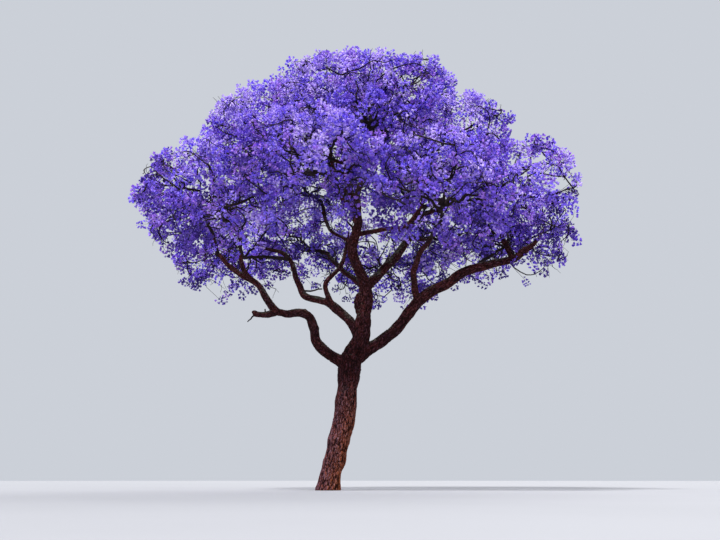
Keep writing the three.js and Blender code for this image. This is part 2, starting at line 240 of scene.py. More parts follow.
class Draws:
    """Seeded numbers from 0 to 1 that are the same on every run."""

    STEP = 0x6D2B79F5
    BITS = 0xFFFFFFFF

    def __init__(self, seed: int) -> None:
        """Starts the series at a seed."""
        self.state = seed & self.BITS

    def next(self) -> float:
        """Draws a number.

        Returns:
            The next number of the series.
        """
        self.state = (self.state + self.STEP) & self.BITS
        t = self.state
        t = ((t ^ (t >> 15)) * (t | 1)) & self.BITS
        t ^= (t + (((t ^ (t >> 7)) * (t | 61)) & self.BITS)) & self.BITS
        return ((t ^ (t >> 14)) & self.BITS) / (self.BITS + 1)

    def either_way(self, most: float) -> float:
        """Returns a number between minus most and most."""
        return (self.next() * 2 - 1) * most


def drawn(span: Pair, draw: Array | float) -> Array | float:
    """Turns draws from 0 to 1 into values that start at the span's first number and add up to its second."""
    return span[0] + span[1] * draw


def heading(azimuth: float, rise: float) -> Array:
    """Gives the unit vector at a heading from +X towards +Y and a rise above the level, in degrees."""
    a, e = math.radians(azimuth), math.radians(rise)
    return np.array([math.cos(e) * math.cos(a), math.cos(e) * math.sin(a), math.sin(e)])


def unit(vectors: Array) -> Array:
    """Scales vectors, along the last axis, to length one."""
    return vectors / np.maximum(np.linalg.norm(vectors, axis=-1, keepdims=True), 1e-9)


def across(direction: Array) -> tuple[Array, Array]:
    """Gives two unit vectors square to a direction, or to each of many, and to each other."""
    side = unit(np.cross(direction, np.where(np.abs(direction[..., 2:3]) < 0.9, UP, EAST)))
    return side, np.cross(direction, side)


def side_at(directions: Array, turns: Array) -> Array:
    """Gives unit vectors square to directions, each turned about its own by an angle."""
    u, v = across(directions)
    return u * np.cos(turns)[:, None] + v * np.sin(turns)[:, None]


def angles(sides: int) -> Array:
    """Gives even angles for the points of a ring."""
    return np.arange(sides) / sides * WHOLE_TURN


def hoops(u: Array, v: Array, angle: Array) -> Array:
    """Gives rings of unit vectors at some angles, one ring for each pair of square sides."""
    return u[..., None, :] * np.cos(angle)[:, None] + v[..., None, :] * np.sin(angle)[:, None]


def walk(start: Array, legs: Sequence[Leg]) -> Array:
    """Lists the points that a walk along legs passes, from its start on."""
    return np.cumsum([start, *(heading(azimuth, rise) * length for length, azimuth, rise in legs)], axis=0)


def even_directions(count: int, lowest: float, turn: float) -> Array:
    """Spreads directions evenly over a ball, from its crest down.

    Args:
        count: how many.
        lowest: the sine of the lowest direction's rise.
        turn: a turn of the whole set, in radians.

    Returns:
        The unit vectors.
    """
    index = np.arange(count)
    high = 1 - 1 / count
    z = high + (lowest - high) * (index + 0.5) / count
    around = np.sqrt(1 - z * z)
    angle = math.pi * (3 - math.sqrt(5)) * index + turn
    return np.stack([around * np.cos(angle), around * np.sin(angle), z], axis=1)


def smooth_step(value: float, low: float, high: float) -> float:
    """Eases from 0 at low to 1 at high."""
    share = min(1.0, max(0.0, (value - low) / (high - low)))
    return share * share * (3 - 2 * share)


def noise_at(points: Array, scale: float) -> Array:
    """Reads smooth noise at points, at a scale."""
    return np.array([noise.noise(Vector(point) * scale) for point in points])


def linear(colour: Colour) -> tuple[float, float, float, float]:
    """Turns a display colour from 0 to 255 into the light values that a shader takes."""
    shares = [c / 255 for c in colour]
    return (*[c / 12.92 if c <= 0.04045 else ((c + 0.055) / 1.055) ** 2.4 for c in shares], 1.0)


def linked(name: str, data: bpy.types.ID) -> Object:
    """Makes an object.

    Args:
        name: its name.
        data: the mesh, camera or lamp that it holds.

    Returns:
        The object, linked to the scene.
    """
    made = bpy.data.objects.new(name, data)
    bpy.context.scene.collection.objects.link(made)
    return made


def mesh_object(name: str, vertices: Array, faces: Array, smooth: bool = True) -> Object:
    """Makes an object from arrays of points and of faces that all have the same number of corners.

    Args:
        name: the object's name.
        vertices: the points.
        faces: the corners of each face.
        smooth: whether the faces are shaded smooth.

    Returns:
        The object, linked to the scene.
    """
    mesh = bpy.data.meshes.new(name)
    corners = faces.shape[1]
    mesh.vertices.add(len(vertices))
    mesh.vertices.foreach_set("co", np.ascontiguousarray(vertices, np.float32).ravel())
    mesh.loops.add(faces.size)
    mesh.loops.foreach_set("vertex_index", np.ascontiguousarray(faces, np.int32).ravel())
    mesh.polygons.add(len(faces))
    mesh.polygons.foreach_set("loop_start", np.arange(0, faces.size, corners, dtype=np.int32))
    mesh.polygons.foreach_set("use_smooth", np.full(len(faces), smooth))
    mesh.update(calc_edges=True)
    return linked(name, mesh)


def read(items: Sequence, name: str, kind: type, width: int) -> Array:
    """Reads one property of all items of a mesh.

    Args:
        items: its points, edges or normals.
        name: the property.
        kind: the type of its numbers.
        width: how many numbers each item has.

    Returns:
        One row for each item.
    """
    values = np.empty(len(items) * width, kind)
    items.foreach_get(name, values)
    return values.reshape(-1, width)


def joined(parts: Sequence[Mesh]) -> Mesh:
    """Joins meshes, given as points and triangles, into one."""
    offsets = np.cumsum([0] + [len(points) for points, _ in parts[:-1]])
    return np.vstack([p for p, _ in parts]), np.vstack([f + o for (_, f), o in zip(parts, offsets)])


# Limbs


class Curve:
    """A smooth centripetal curve through points, read by shares of its length."""

    DIVISIONS = 200
    STEP = 1e-4

    def __init__(self, points: Array) -> None:
        """Measures the curve.

        Args:
            points: the points that it passes.
        """
        self.points = points
        self.padded = np.vstack([2 * points[0] - points[1], points, 2 * points[-1] - points[-2]])
        self.times = np.linspace(0, 1, self.DIVISIONS + 1)
        steps = np.linalg.norm(np.diff(self.point(self.times), axis=0), axis=1)
        self.lengths = np.concatenate([[0], np.cumsum(steps)])
        self.length = float(self.lengths[-1])

    def point(self, time: Array) -> Array:
        """Gives points of the curve.

        Args:
            time: curve times from 0 to 1.

        Returns:
            A point for each.
        """
        place = np.atleast_1d(time) * (len(self.points) - 1)
        index = np.minimum(place.astype(int), len(self.points) - 2)
        w = (place - index)[:, None]
        p0, p1, p2, p3 = (self.padded[index + k] for k in range(4))
        gaps = (p1 - p0, p2 - p1, p3 - p2)
        d0, d1, d2 = (np.sqrt(np.linalg.norm(gap, axis=1))[:, None] for gap in gaps)
        t1 = ((p1 - p0) / d0 - (p2 - p0) / (d0 + d1) + (p2 - p1) / d1) * d1
        t2 = ((p2 - p1) / d1 - (p3 - p1) / (d1 + d2) + (p3 - p2) / d2) * d1
        bend = 2 * p1 - 2 * p2 + t1 + t2
        return p1 + t1 * w + (-3 * p1 + 3 * p2 - 2 * t1 - t2) * w**2 + bend * w**3

    def time(self, share: Array | float) -> Array:
        """Gives the curve times at shares of the length."""
        return np.interp(np.atleast_1d(share) * self.length, self.lengths, self.times)

    def at(self, share: float) -> Array:
        """Gives the point at a share of the length."""
        return self.point(self.time(share))[0]

    def run(self, shares: Array) -> Array:
        """Gives the points at shares of the length."""
        return self.point(self.time(shares))

    def tangent(self, share: float) -> Array:
        """Gives the unit direction at a share of the length."""
        before, after = self.point(np.clip(self.time(share)[0] + np.array([-1, 1]) * self.STEP, 0, 1))
        return unit(after - before)


@dataclass
class Limb:
    """A tapering limb along a curve."""

    name: str
    curve: Curve
    radii: Pair
    collar: float = 0.0
    carries: Mass | None = None

    def radius(self, share: Array | float) -> Array | float:
        """Gives the radius at a share of the length."""
        return self.radii[0] + (self.radii[1] - self.radii[0]) * share

    def shares(self, pitch: float) -> Array:
        """Lists even shares of the length that lie at most a pitch apart."""
        count = math.ceil(self.curve.length / pitch)
        return np.arange(count + 1) / count

    def frames(self, shares: Array) -> tuple[Array, Array, Array]:
        """Carries a frame along the limb without twisting it.

        Args:
            shares: rising shares of the length.

        Returns:
            The points, and two unit vectors square to the limb at each.
        """
        points = self.curve.run(shares)
        tangents = unit(np.gradient(points, axis=0))
        side = across(tangents[0])[0]
        sides = []
        for tangent in tangents:
            side = unit(side - tangent * np.dot(side, tangent))
            sides.append(side)
        sides = np.array(sides)
        return points, sides, np.cross(tangents, sides)


@dataclass
class Mass:
    """A mass of blossom: its space, and where its stem starts."""

    name: str
    centre: Array
    half: Array
    seed: int
    base: Array = field(default_factory=lambda: np.zeros(3))
    direction: Array = field(default_factory=lambda: np.zeros(3))

    def outness(self, points: Array) -> Array:
        """Tells how far out of the mass points lie: 1 on its surface."""
        return np.linalg.norm((points - self.centre) / self.half, axis=-1)

    def stem(self, rule: CrownRule) -> Array:
        """Bends the stem from its base to the middle of the mass.

        Args:
            rule: the crown's sizes.

        Returns:
            The stem's foot, knee and hub.
        """
        hub = self.centre - UP * rule.stem_hub * self.half[2]
        knee = self.base + self.direction * np.linalg.norm(self.base - hub) * rule.stem_knee
        return np.array([self.base, knee, hub])


class Skeleton:
    """Grows the limbs and places the masses, by the rule that made the solids."""

    def __init__(self, rule: CrownRule) -> None:
        """Builds everything that later pieces grow on from.

        Args:
            rule: the crown's sizes.
        """
        self.rule = rule
        self.limbs: dict[str, Limb] = {}
        self.grow_limbs()
        self.masses = self.place_masses()
        self.connect()
        runs = [(limb, limb.shares(rule.sample_pitch)) for limb in self.limbs.values()]
        self.points = np.vstack([limb.curve.run(shares) for limb, shares in runs])
        self.radii = np.concatenate([limb.radius(shares) for limb, shares in runs])

    def free(self, points: Array, gap: float) -> Array:
        """Tells which points lie at least a gap away from every limb."""
        gaps = np.linalg.norm(points[:, None] - self.points[None], axis=2) - self.radii
        return np.min(gaps, axis=1) > gap

    def grow_limbs(self) -> None:
        """Adds the trunk and the boughs."""
        start = -heading(TRUNK_LEGS[0][1], TRUNK_LEGS[0][2]) * TRUNK_START
        trunk = np.vstack([start, walk(np.zeros(3), TRUNK_LEGS)])
        self.limbs["trunk"] = Limb("trunk", Curve(trunk), TRUNK_RADII)
        for bough in BOUGHS:
            carrier = self.limbs[bough.on].curve
            points = walk(carrier.at(bough.at), bough.legs)
            if bough.at == 1:
                points[0] -= carrier.tangent(1) * SINK
            collar = 0.0 if bough.at == 1 else BOUGH_COLLAR
            self.limbs[bough.name] = Limb(bough.name, Curve(points), bough.radii, collar)

    def place_masses(self) -> list[Mass]:
        """Spreads the masses of blossom, ring by ring.

        Returns:
            The masses, in the order of their names.
        """
        rule, draws, masses = self.rule, Draws(self.rule.place_seed), []
        for ring in rule.rings:
            for i in range(ring.count):
                angle = i / ring.count * 360 + ring.turn + draws.either_way(rule.scatter_turn)
                reach = ring.reach * (1 + draws.either_way(rule.scatter_reach))
                lift = ring.wave if i % 2 else -ring.wave
                height = ring.height + lift + draws.either_way(rule.scatter_height)
                centre = heading(angle, 0) * reach + np.array([*rule.middle, height])
                half = np.array([ring.wide, ring.wide, ring.high]) * (1 + draws.either_way(rule.scatter_size))
                name = f"{ring.name}_blossom_{i + 1}"
                masses.append(Mass(name, centre, half, rule.mass_seed + len(masses)))
        return masses

    def connect(self) -> None:
        """Picks where each mass is carried, the lowest first, and adds the connecting limbs."""
        rule = self.rule
        boughs = [limb for name, limb in self.limbs.items() if name not in ("trunk", "central_stem")]
        spots = [(limb, share, limb.curve.at(share)) for limb in boughs for share in rule.carry_shares]
        for mass in sorted(self.masses, key=lambda m: m.centre[2]):
            inward = np.array([*rule.middle, mass.centre[2] - rule.carry_drop])
            wanted = mass.centre + (inward - mass.centre) * rule.carry_inward
            points = np.array([point for *_, point in spots])
            low = mass.centre[2] - points[:, 2] < rule.carry_climb
            side = np.array([share < 1 for _, share, _ in spots])
            costs = np.linalg.norm(points - wanted, axis=1) + low * rule.carry_low + side * rule.carry_side
            limb, share, point = spots.pop(int(np.argmin(costs)))
            out = float(mass.outness(point))
            if share == 1 and out <= rule.riser_touch:
                limb.carries = mass
            if out > rule.riser_touch:
                riser = self.make_riser(mass, limb, share)
                self.limbs[riser.name] = riser
                mass.base, mass.direction = riser.curve.at(1), riser.curve.tangent(1)
            else:
                mass.base, mass.direction = point, unit(mass.centre - point)

    def make_riser(self, mass: Mass, limb: Limb, share: float) -> Limb:
        """Makes the crooked limb that connects a spot on a bough to a mass.

        Args:
            mass: the mass that it carries.
            limb: the bough that it leaves.
            share: where along the bough it leaves.

        Returns:
            The connecting limb.
        """
        rule, draws, point = self.rule, Draws(mass.seed + self.rule.riser_seed), limb.curve.at(share)
        end = mass.centre + (point - mass.centre) * (rule.riser_entry / float(mass.outness(point)))
        length = float(np.linalg.norm(end - point))
        middle = point + (end - point) * rule.riser_bend
        for side in across(unit(end - point)):
            middle = middle + side * draws.either_way(rule.riser_crook) * length
        foot = min(rule.riser_most, limb.radius(share) * rule.riser_share + rule.riser_extra)
        name = mass.name.replace("blossom", "limb")
        return Limb(name, Curve(np.array([point, middle, end])), (foot, rule.riser_tip), rule.riser_collar)


# Foliage that grows by the solids' rule


@dataclass
class Spray:
    """A spray of blossom from its root on a twig to its tip."""

    root: Array
    tip: Array
    turn: float

    def axes(self) -> tuple[Array, Array, Array, float]:
        """Measures the spray.

        Returns:
            The directions along it, across its width and through its thickness, and its length.
        """
        along = self.tip - self.root
        length = float(np.linalg.norm(along))
        along = along / length
        u, v = across(along)
        wide = u * math.cos(self.turn) + v * math.sin(self.turn)
        return along, wide, np.cross(along, wide), length


class MassGrowth:
    """A mass grown by the solids' rule: its stem, twigs and sprays, in its own space and clear of limbs."""

    def __init__(self, mass: Mass, skeleton: Skeleton) -> None:
        """Grows the mass.

        Args:
            mass: the mass.
            skeleton: the limbs that it keeps clear of, and the masses beside it.
        """
        rule = skeleton.rule
        self.mass, self.rule, self.draws = mass, rule, Draws(mass.seed)
        others = [other for other in skeleton.masses if other is not mass]
        between = np.array([other.centre - mass.centre for other in others])
        shares = np.array([mass.half[0] / (mass.half[0] + other.half[0]) for other in others])
        self.walls = unit(between)
        self.stands = np.linalg.norm(between, axis=1) * shares - rule.cell_margin
        close = mass.outness(skeleton.points) < rule.near_out
        close &= np.linalg.norm(skeleton.points - mass.base, axis=1) > rule.near_base
        self.near, self.near_radii = skeleton.points[close], skeleton.radii[close]
        self.stem = Curve(mass.stem(rule)).run(np.linspace(0, 1, 9))
        self.twigs = self.grow_twigs()
        self.bellies: list[Array] = []
        self.sprays = self.grow_sprays()

    def directions(self, count: int, lowest: float) -> Array:
        """Spreads directions over the mass, at a turn of their own."""
        return even_directions(count, lowest, self.draws.next() * self.rule.turn_most)

    def inside(self, points: Array) -> bool:
        """Tells whether points keep to the mass's space between its neighbours."""
        return bool(np.all((points - self.mass.centre) @ self.walls.T < self.stands))

    def room(self, reaches: Array) -> Array:
        """Tells what share of each way out from the mass's centre stays in its space, up to 1."""
        return np.minimum(1, np.min(self.stands / np.maximum(reaches @ self.walls.T, 1e-6), axis=1))

    def clear(self, start: Array, end: Array, width: float) -> bool:
        """Tells whether a line with some width round it keeps clear of the limbs.

        Args:
            start: the line's first point.
            end: its last point.
            width: the width round it.

        Returns:
            Whether it does.
        """
        line = end - start
        share = np.clip((self.near - start) @ line / (line @ line), 0, 1)
        gaps = np.linalg.norm(start + share[:, None] * line - self.near, axis=1)
        return bool(np.all(gaps > self.near_radii + width + self.rule.limb_clearance))

    def corners(self, spray: Spray) -> Array:
        """Finds the furthest points of a spray.

        Args:
            spray: the spray.

        Returns:
            Its tip, the two ends of its width, and its crest.
        """
        rule = self.rule
        sunk = Spray(spray.root - spray.axes()[0] * rule.spray_sink, spray.tip, spray.turn)
        along, wide, thin, length = sunk.axes()
        belly = sunk.root + along * length * rule.spray_belly
        half, depth = length * rule.spray_width / 2, length * rule.spray_thickness
        low = belly - thin * depth / 3
        return np.array([spray.tip, low + wide * half, low - wide * half, belly + thin * depth * 2 / 3])

    def fit(self, root: Array, goal: Array, turn: float) -> Spray | None:
        """Finds the longest spray that fits between a root and its goal.

        Args:
            root: where it grows on its twig.
            goal: where its tip is wanted.
            turn: its turn about its own length.

        Returns:
            The spray, or nothing where none fits.
        """
        rule = self.rule
        aim = goal - root
        full = min(float(np.linalg.norm(aim)), rule.spray_longest)
        aim = unit(aim)
        for shrink in rule.spray_shrinks:
            length = full * shrink
            if length < rule.spray_shortest:
                return None
            spray = Spray(root, root + aim * length, turn)
            belly = root + aim * length * rule.spray_belly
            half = length * rule.spray_width / 2
            if not self.inside(self.corners(spray)) or not self.clear(root, spray.tip, half):
                continue
            if any(np.linalg.norm(other - belly) < half * rule.spray_apart for other in self.bellies):
                continue
            self.bellies.append(belly)
            return spray
        return None

    def grow_twigs(self) -> list[tuple[Array, Array]]:
        """Grows the mass's twigs from the outer part of its stem.

        Returns:
            The first and last point of each twig.
        """
        rule, mass, twigs = self.rule, self.mass, []
        _, knee, hub = mass.stem(rule)
        for direction in self.directions(rule.twig_count, rule.twig_lowest):
            way = direction * mass.half * rule.twig_reach
            end = mass.centre + way * drawn(rule.twig_stretch, self.draws.next())
            start = knee + (hub - knee) * drawn(rule.twig_leaves, self.draws.next())
            if self.inside(end[None]) and self.clear(start, end, rule.twig_foot):
                twigs.append((start, end))
        return twigs

    def grow_sprays(self) -> list[Spray]:
        """Deals places over the mass's outside to its twigs and grows a spray towards each, if it fits.

        Returns:
            The sprays.
        """
        rule, mass, sprays = self.rule, self.mass, []
        goals: list[list[tuple[Array, float]]] = [[] for _ in self.twigs]
        for direction in self.directions(rule.spray_count, rule.spray_lowest):
            way = direction * mass.half
            share = drawn(rule.spray_out, self.draws.next())
            while share > rule.twig_reach and not self.inside((mass.centre + way * share)[None]):
                share -= rule.spray_step
            goal = mass.centre + way * share
            gaps = [float(np.linalg.norm(end - goal)) for _, end in self.twigs]
            goals[gaps.index(min(gaps))].append((goal, self.draws.next() * math.pi))
        for (start, end), wanted in zip(self.twigs, goals):
            wanted.sort(key=lambda g: float(np.linalg.norm(end - g[0])))
            for order, (goal, turn) in enumerate(wanted):
                root = end + (start - end) * min(rule.spray_furthest, rule.spray_spacing * order)
                spray = self.fit(root, goal, turn)
                if spray:
                    sprays.append(spray)
        return sprays


# Twigs


@dataclass(frozen=True)
class TwigMake:
    """A make of twig: its points, sides and radii, and its stray and lift as shares of its length."""

    steps: int
    sides: int
    foot: float
    tip: float
    crook: float = 0.0
    lift: float = 0.0


class Sticks:
    """Gathers crooked tapering twigs and joins them into one mesh."""

    def __init__(self) -> None:
        """Starts with no twigs."""
        self.runs: list[tuple[TwigMake, Array]] = []

    def add(self, paths: Array, make: TwigMake) -> None:
        """Adds twigs of one make, given by their points, of shape (twigs, points, 3)."""
        self.runs.append((make, paths))

    def grow(self, starts: Array, ends: Array, make: TwigMake, rng: Random) -> Array:
        """Adds twigs that go crooked ways between points, as a jacaranda's do.

        Args:
            starts: the first point of each.
            ends: the last point of each.
            make: the make of twig.
            rng: the source of random numbers.

        Returns:
            The ways, of shape (twigs, points, 3).
        """
        share = np.linspace(0, 1, make.steps)[None, :, None]
        line = ends - starts
        length = np.linalg.norm(line, axis=1)[:, None, None]
        stray = rng.normal(size=(len(starts), make.steps, 3)) * make.crook * length
        hold = np.sin(np.pi * share) ** 0.5
        rise = UP * make.lift * length * np.sin(np.pi * share)
        paths = starts[:, None] + line[:, None] * share + (stray * hold + rise)
        self.add(paths, make)
        return paths

    def arrays(self) -> Mesh:
        """Joins all twigs, each closed at both ends.

        Returns:
            The points and triangles.
        """
        parts = []
        for make in dict.fromkeys(make for make, _ in self.runs):
            paths = np.concatenate([p for m, p in self.runs if m == make])
            radii = np.linspace(make.foot, make.tip, make.steps)[None, :, None, None]
            tangents = unit(np.gradient(paths, axis=1))
            u = across(unit(paths[:, -1:] - paths[:, :1]))[0]
            u = unit(u - tangents * np.sum(u * tangents, axis=-1, keepdims=True))
            points = paths[:, :, None] + hoops(u, np.cross(tangents, u), angles(make.sides)) * radii
            starts = np.arange(len(paths)) * make.steps * make.sides
            faces = self.pattern(make.steps, make.sides)[None] + starts[:, None, None]
            parts.append((points.reshape(-1, 3), faces.reshape(-1, 3)))
        return joined(parts)

    @staticmethod
    def pattern(steps: int, sides: int) -> Array:
        """Lists the triangles of one twig, as numbers of its own points.

        Args:
            steps: how many rings it has.
            sides: how many points a ring has.

        Returns:
            The triangles, with those that close both ends.
        """
        made = []
        for i in range(steps - 1):
            for k in range(sides):
                a, b = i * sides + k, i * sides + (k + 1) % sides
                made += [(a, b, b + sides), (a, b + sides, a + sides)]
        last = (steps - 1) * sides
        for k in range(1, sides - 1):
            made += [(0, k + 1, k), (last, last + k, last + k + 1)]
        return np.array(made)


# Flowers


def fan(rim: Sequence[tuple[float, float, float]]) -> Mesh:
    """Closes a rim of points with triangles that all meet at the origin."""
    faces = [(0, k + 1, (k + 1) % len(rim) + 1) for k in range(len(rim))]
    return np.array([(0.0, 0.0, 0.0), *rim]), np.array(faces)


@dataclass(frozen=True)
class FlowerForm:
    """A five-lobed trumpet flower that opens along +Z, larger than life so that the crown stays full."""

    length: float = 0.078
    mouth: float = 0.0385
    throat: float = 0.0275
    notch: float = 0.86
    lobes: int = 5

    def arrays(self) -> Mesh:
        """Builds the flower.

        Returns:
            Its points and triangles.
        """
        rim = []
        for k in range(self.lobes * 2):
            angle = k / (self.lobes * 2) * WHOLE_TURN
            radius, share = (self.throat, self.notch) if k % 2 else (self.mouth, 1)
            rim.append((radius * math.cos(angle), radius * math.sin(angle), self.length * share))
        return fan(rim)


@dataclass(frozen=True)
class TrumpetForm:
    """A flower that is only half open, along +Z."""

    length: float = 0.07
    mouth: float = 0.023
    rim: tuple[float, ...] = (0.0, 1.6, 3.1, 4.7)

    def arrays(self) -> Mesh:
        """Returns the points and the triangles of the flower."""
        return fan([(self.mouth * math.cos(a), self.mouth * math.sin(a), self.length) for a in self.rim])


@dataclass(frozen=True)
class BudForm:
    """A closed bud along +Z."""

    length: float = 0.045
    radius: float = 0.009
    belly: float = 0.62

    def arrays(self) -> Mesh:
        """Builds the bud.

        Returns:
            Its points and triangles.
        """
        third, r, high = WHOLE_TURN / 3, self.radius, self.length * self.belly
        belt = [(r * math.cos(k * third), r * math.sin(k * third), high) for k in range(3)]
        pairs = [(2 + k, 2 + (k + 1) % 3) for k in range(3)]
        faces = [(0, a, b) for a, b in pairs] + [(1, b, a) for a, b in pairs]
        return np.array([(0.0, 0.0, 0.0), (0.0, 0.0, self.length), *belt]), np.array(faces)


def turned(axes: Array, spin: Array) -> Array:
    """Makes the turns, one 3 by 3 matrix each, that carry +Z on to axes and spin about them."""
    x = side_at(axes, spin)
    return np.stack([x, np.cross(axes, x), axes], axis=2)


def placed(form: Mesh, places: Array, turns: Array, sizes: Array) -> Mesh:
    """Copies a form to many places and joins the copies.

    Args:
        form: its points and triangles.
        places: where each copy's own origin goes.
        turns: how each is turned.
        sizes: how large each is.

    Returns:
        The joined points and triangles.
    """
    points, faces = form
    moved = np.einsum("nij,pj->npi", turns * sizes[:, None, None], points) + places[:, None]
    starts = np.arange(len(places)) * len(points)
    return moved.reshape(-1, 3), (faces[None] + starts[:, None, None]).reshape(-1, 3)


@dataclass(frozen=True)
class PanicleForm:
    """A loose cone of flowers round an upright stalk, with half-open ones among them and buds at its tip."""

    length: float = 0.3
    girth: float = 0.13
    flowers: int = 13
    trumpets: int = 6
    buds: int = 3
    odd_one_in: int = 3
    step: float = 2.4
    step_stray: float = 0.5
    filled: float = 0.9
    height: float = 0.9
    spin_most: float = 6.3
    taper: float = 0.66
    reach: Pair = (0.3, 0.7)
    tilt: Pair = (-0.45, 1.2)
    tilt_stray: float = 0.35
    sizes: Pair = (0.8, 0.35)
    trumpet_reach: float = 0.9
    bud_out: float = 0.03
    bud_height: Pair = (0.86, 0.12)

    def around(self, rng: Random, count: int, spread: float) -> tuple[Array, Array]:
        """Places things round the stalk.

        Args:
            rng: the source of random numbers.
            count: how many.
            spread: how far out they stand, as a share of the girth.

        Returns:
            Their places, and the ways they face.
        """
        share = (np.arange(count) + rng.random(count) * self.filled) / count
        angle = np.arange(count) * self.step + rng.normal(size=count) * self.step_stray
        out = np.stack([np.cos(angle), np.sin(angle), np.zeros(count)], axis=1)
        reach = self.girth * spread * (1 - self.taper * share) * drawn(self.reach, rng.random(count))
        places = out * reach[:, None] + UP * (share * self.length * self.height)[:, None]
        aims = out + UP * (share * self.tilt[1] + self.tilt[0])[:, None]
        return places, unit(aims + rng.normal(size=(count, 3)) * self.tilt_stray)

    def arrays(self, seed: int) -> list[Mesh]:
        """Builds one make of panicle.

        Args:
            seed: which make.

        Returns:
            The points and triangles of its flowers and buds, and those of the odd flowers among them.
        """
        rng = np.random.default_rng(seed)
        own, odd = [], []
        rounds = ((FlowerForm(), self.flowers, 1.0), (TrumpetForm(), self.trumpets, self.trumpet_reach))
        for form, count, spread in rounds:
            places, aims = self.around(rng, count, spread)
            sizes = drawn(self.sizes, rng.random(count))
            turns = turned(aims, rng.random(count) * self.spin_most)
            apart = np.arange(count) % self.odd_one_in == 1
            for group, chosen in ((own, ~apart), (odd, apart)):
                group.append(placed(form.arrays(), places[chosen], turns[chosen], sizes[chosen]))
        angle = np.arange(self.buds) * self.step
        out = np.stack([np.cos(angle), np.sin(angle), np.zeros(self.buds)], axis=1) * 0.5
        heights = self.length * drawn(self.bud_height, rng.random(self.buds))
        places = out * self.bud_out + UP * heights[:, None]
        own.append(placed(BudForm().arrays(), places, turned(unit(out + UP), angle), np.ones(self.buds)))
        return [joined(own), joined(odd)]


@dataclass(frozen=True)
class Panicle:
    """Where a panicle stands: its make, its foot, the way it points, its size and its turn."""

    make: int
    base: Array
    aim: Array
    size: float
    spin: float


class Tint(Enum):
    """The shades of blossom, with the least light in which each is dealt out, the lightest first."""

    PALE = ("pale", 1.5, (218, 198, 252), (192, 164, 250))
    LAVENDER = ("lavender", 0.85, (190, 162, 250), (160, 128, 246))
    BLUE_VIOLET = ("blue_violet", 0.3, (152, 126, 248), (124, 94, 236))
    MAUVE = ("mauve", -0.05, (178, 130, 236), (148, 98, 218))
    VIOLET = ("violet", -0.7, (132, 94, 228), (102, 64, 202))
    DEEP = ("deep", -math.inf, (92, 58, 178), (64, 34, 138))

    def __init__(self, label: str, least: float, light: Colour, dark: Colour) -> None:
        """Keeps the shade's sizes.

        Args:
            label: its name in the pieces' names.
            least: the least light in which it is dealt out.
            light: its lighter colour.
            dark: its darker colour.
        """
        self.label = label
        self.least = least
        self.light = light
        self.dark = dark

    @classmethod
    def pick(cls, light: float) -> Tint:
        """Picks the shade for an amount of light."""
        return next(tint for tint in cls if light > tint.least)


@dataclass(frozen=True)
class Spur:
    """A short dead or bare twig on a limb: where it leaves, its heading, rise, length, radii and crook."""

    on: str
    at: float
    azimuth: float
    rise: float
    length: float
    foot: float
    tip: float
    crook: float = 0.04


SPURS = (
    Spur("left_bough_high", 0.98, 210, -46, 0.22, 0.026, 0.014, 0.015),
    Spur("left_bough_high", 0.83, 120, 76, 0.09, 0.034, 0.016),
    Spur("left_riser", 0.55, 20, 40, 0.3, 0.016, 0.006),
    Spur("mid_left_outer", 0.32, 352, 6, 0.5, 0.03, 0.02),
    Spur("right_bough_high", 0.88, 200, 70, 0.34, 0.03, 0.012),
    Spur("front_bough_low", 0.9, 200, 40, 0.3, 0.036, 0.018),
)


def strayed(aims: Array, amount: float, rng: Random) -> Array:
    """Turns directions away from themselves at random, by about an amount."""
    return unit(aims + rng.normal(size=aims.shape) * amount)


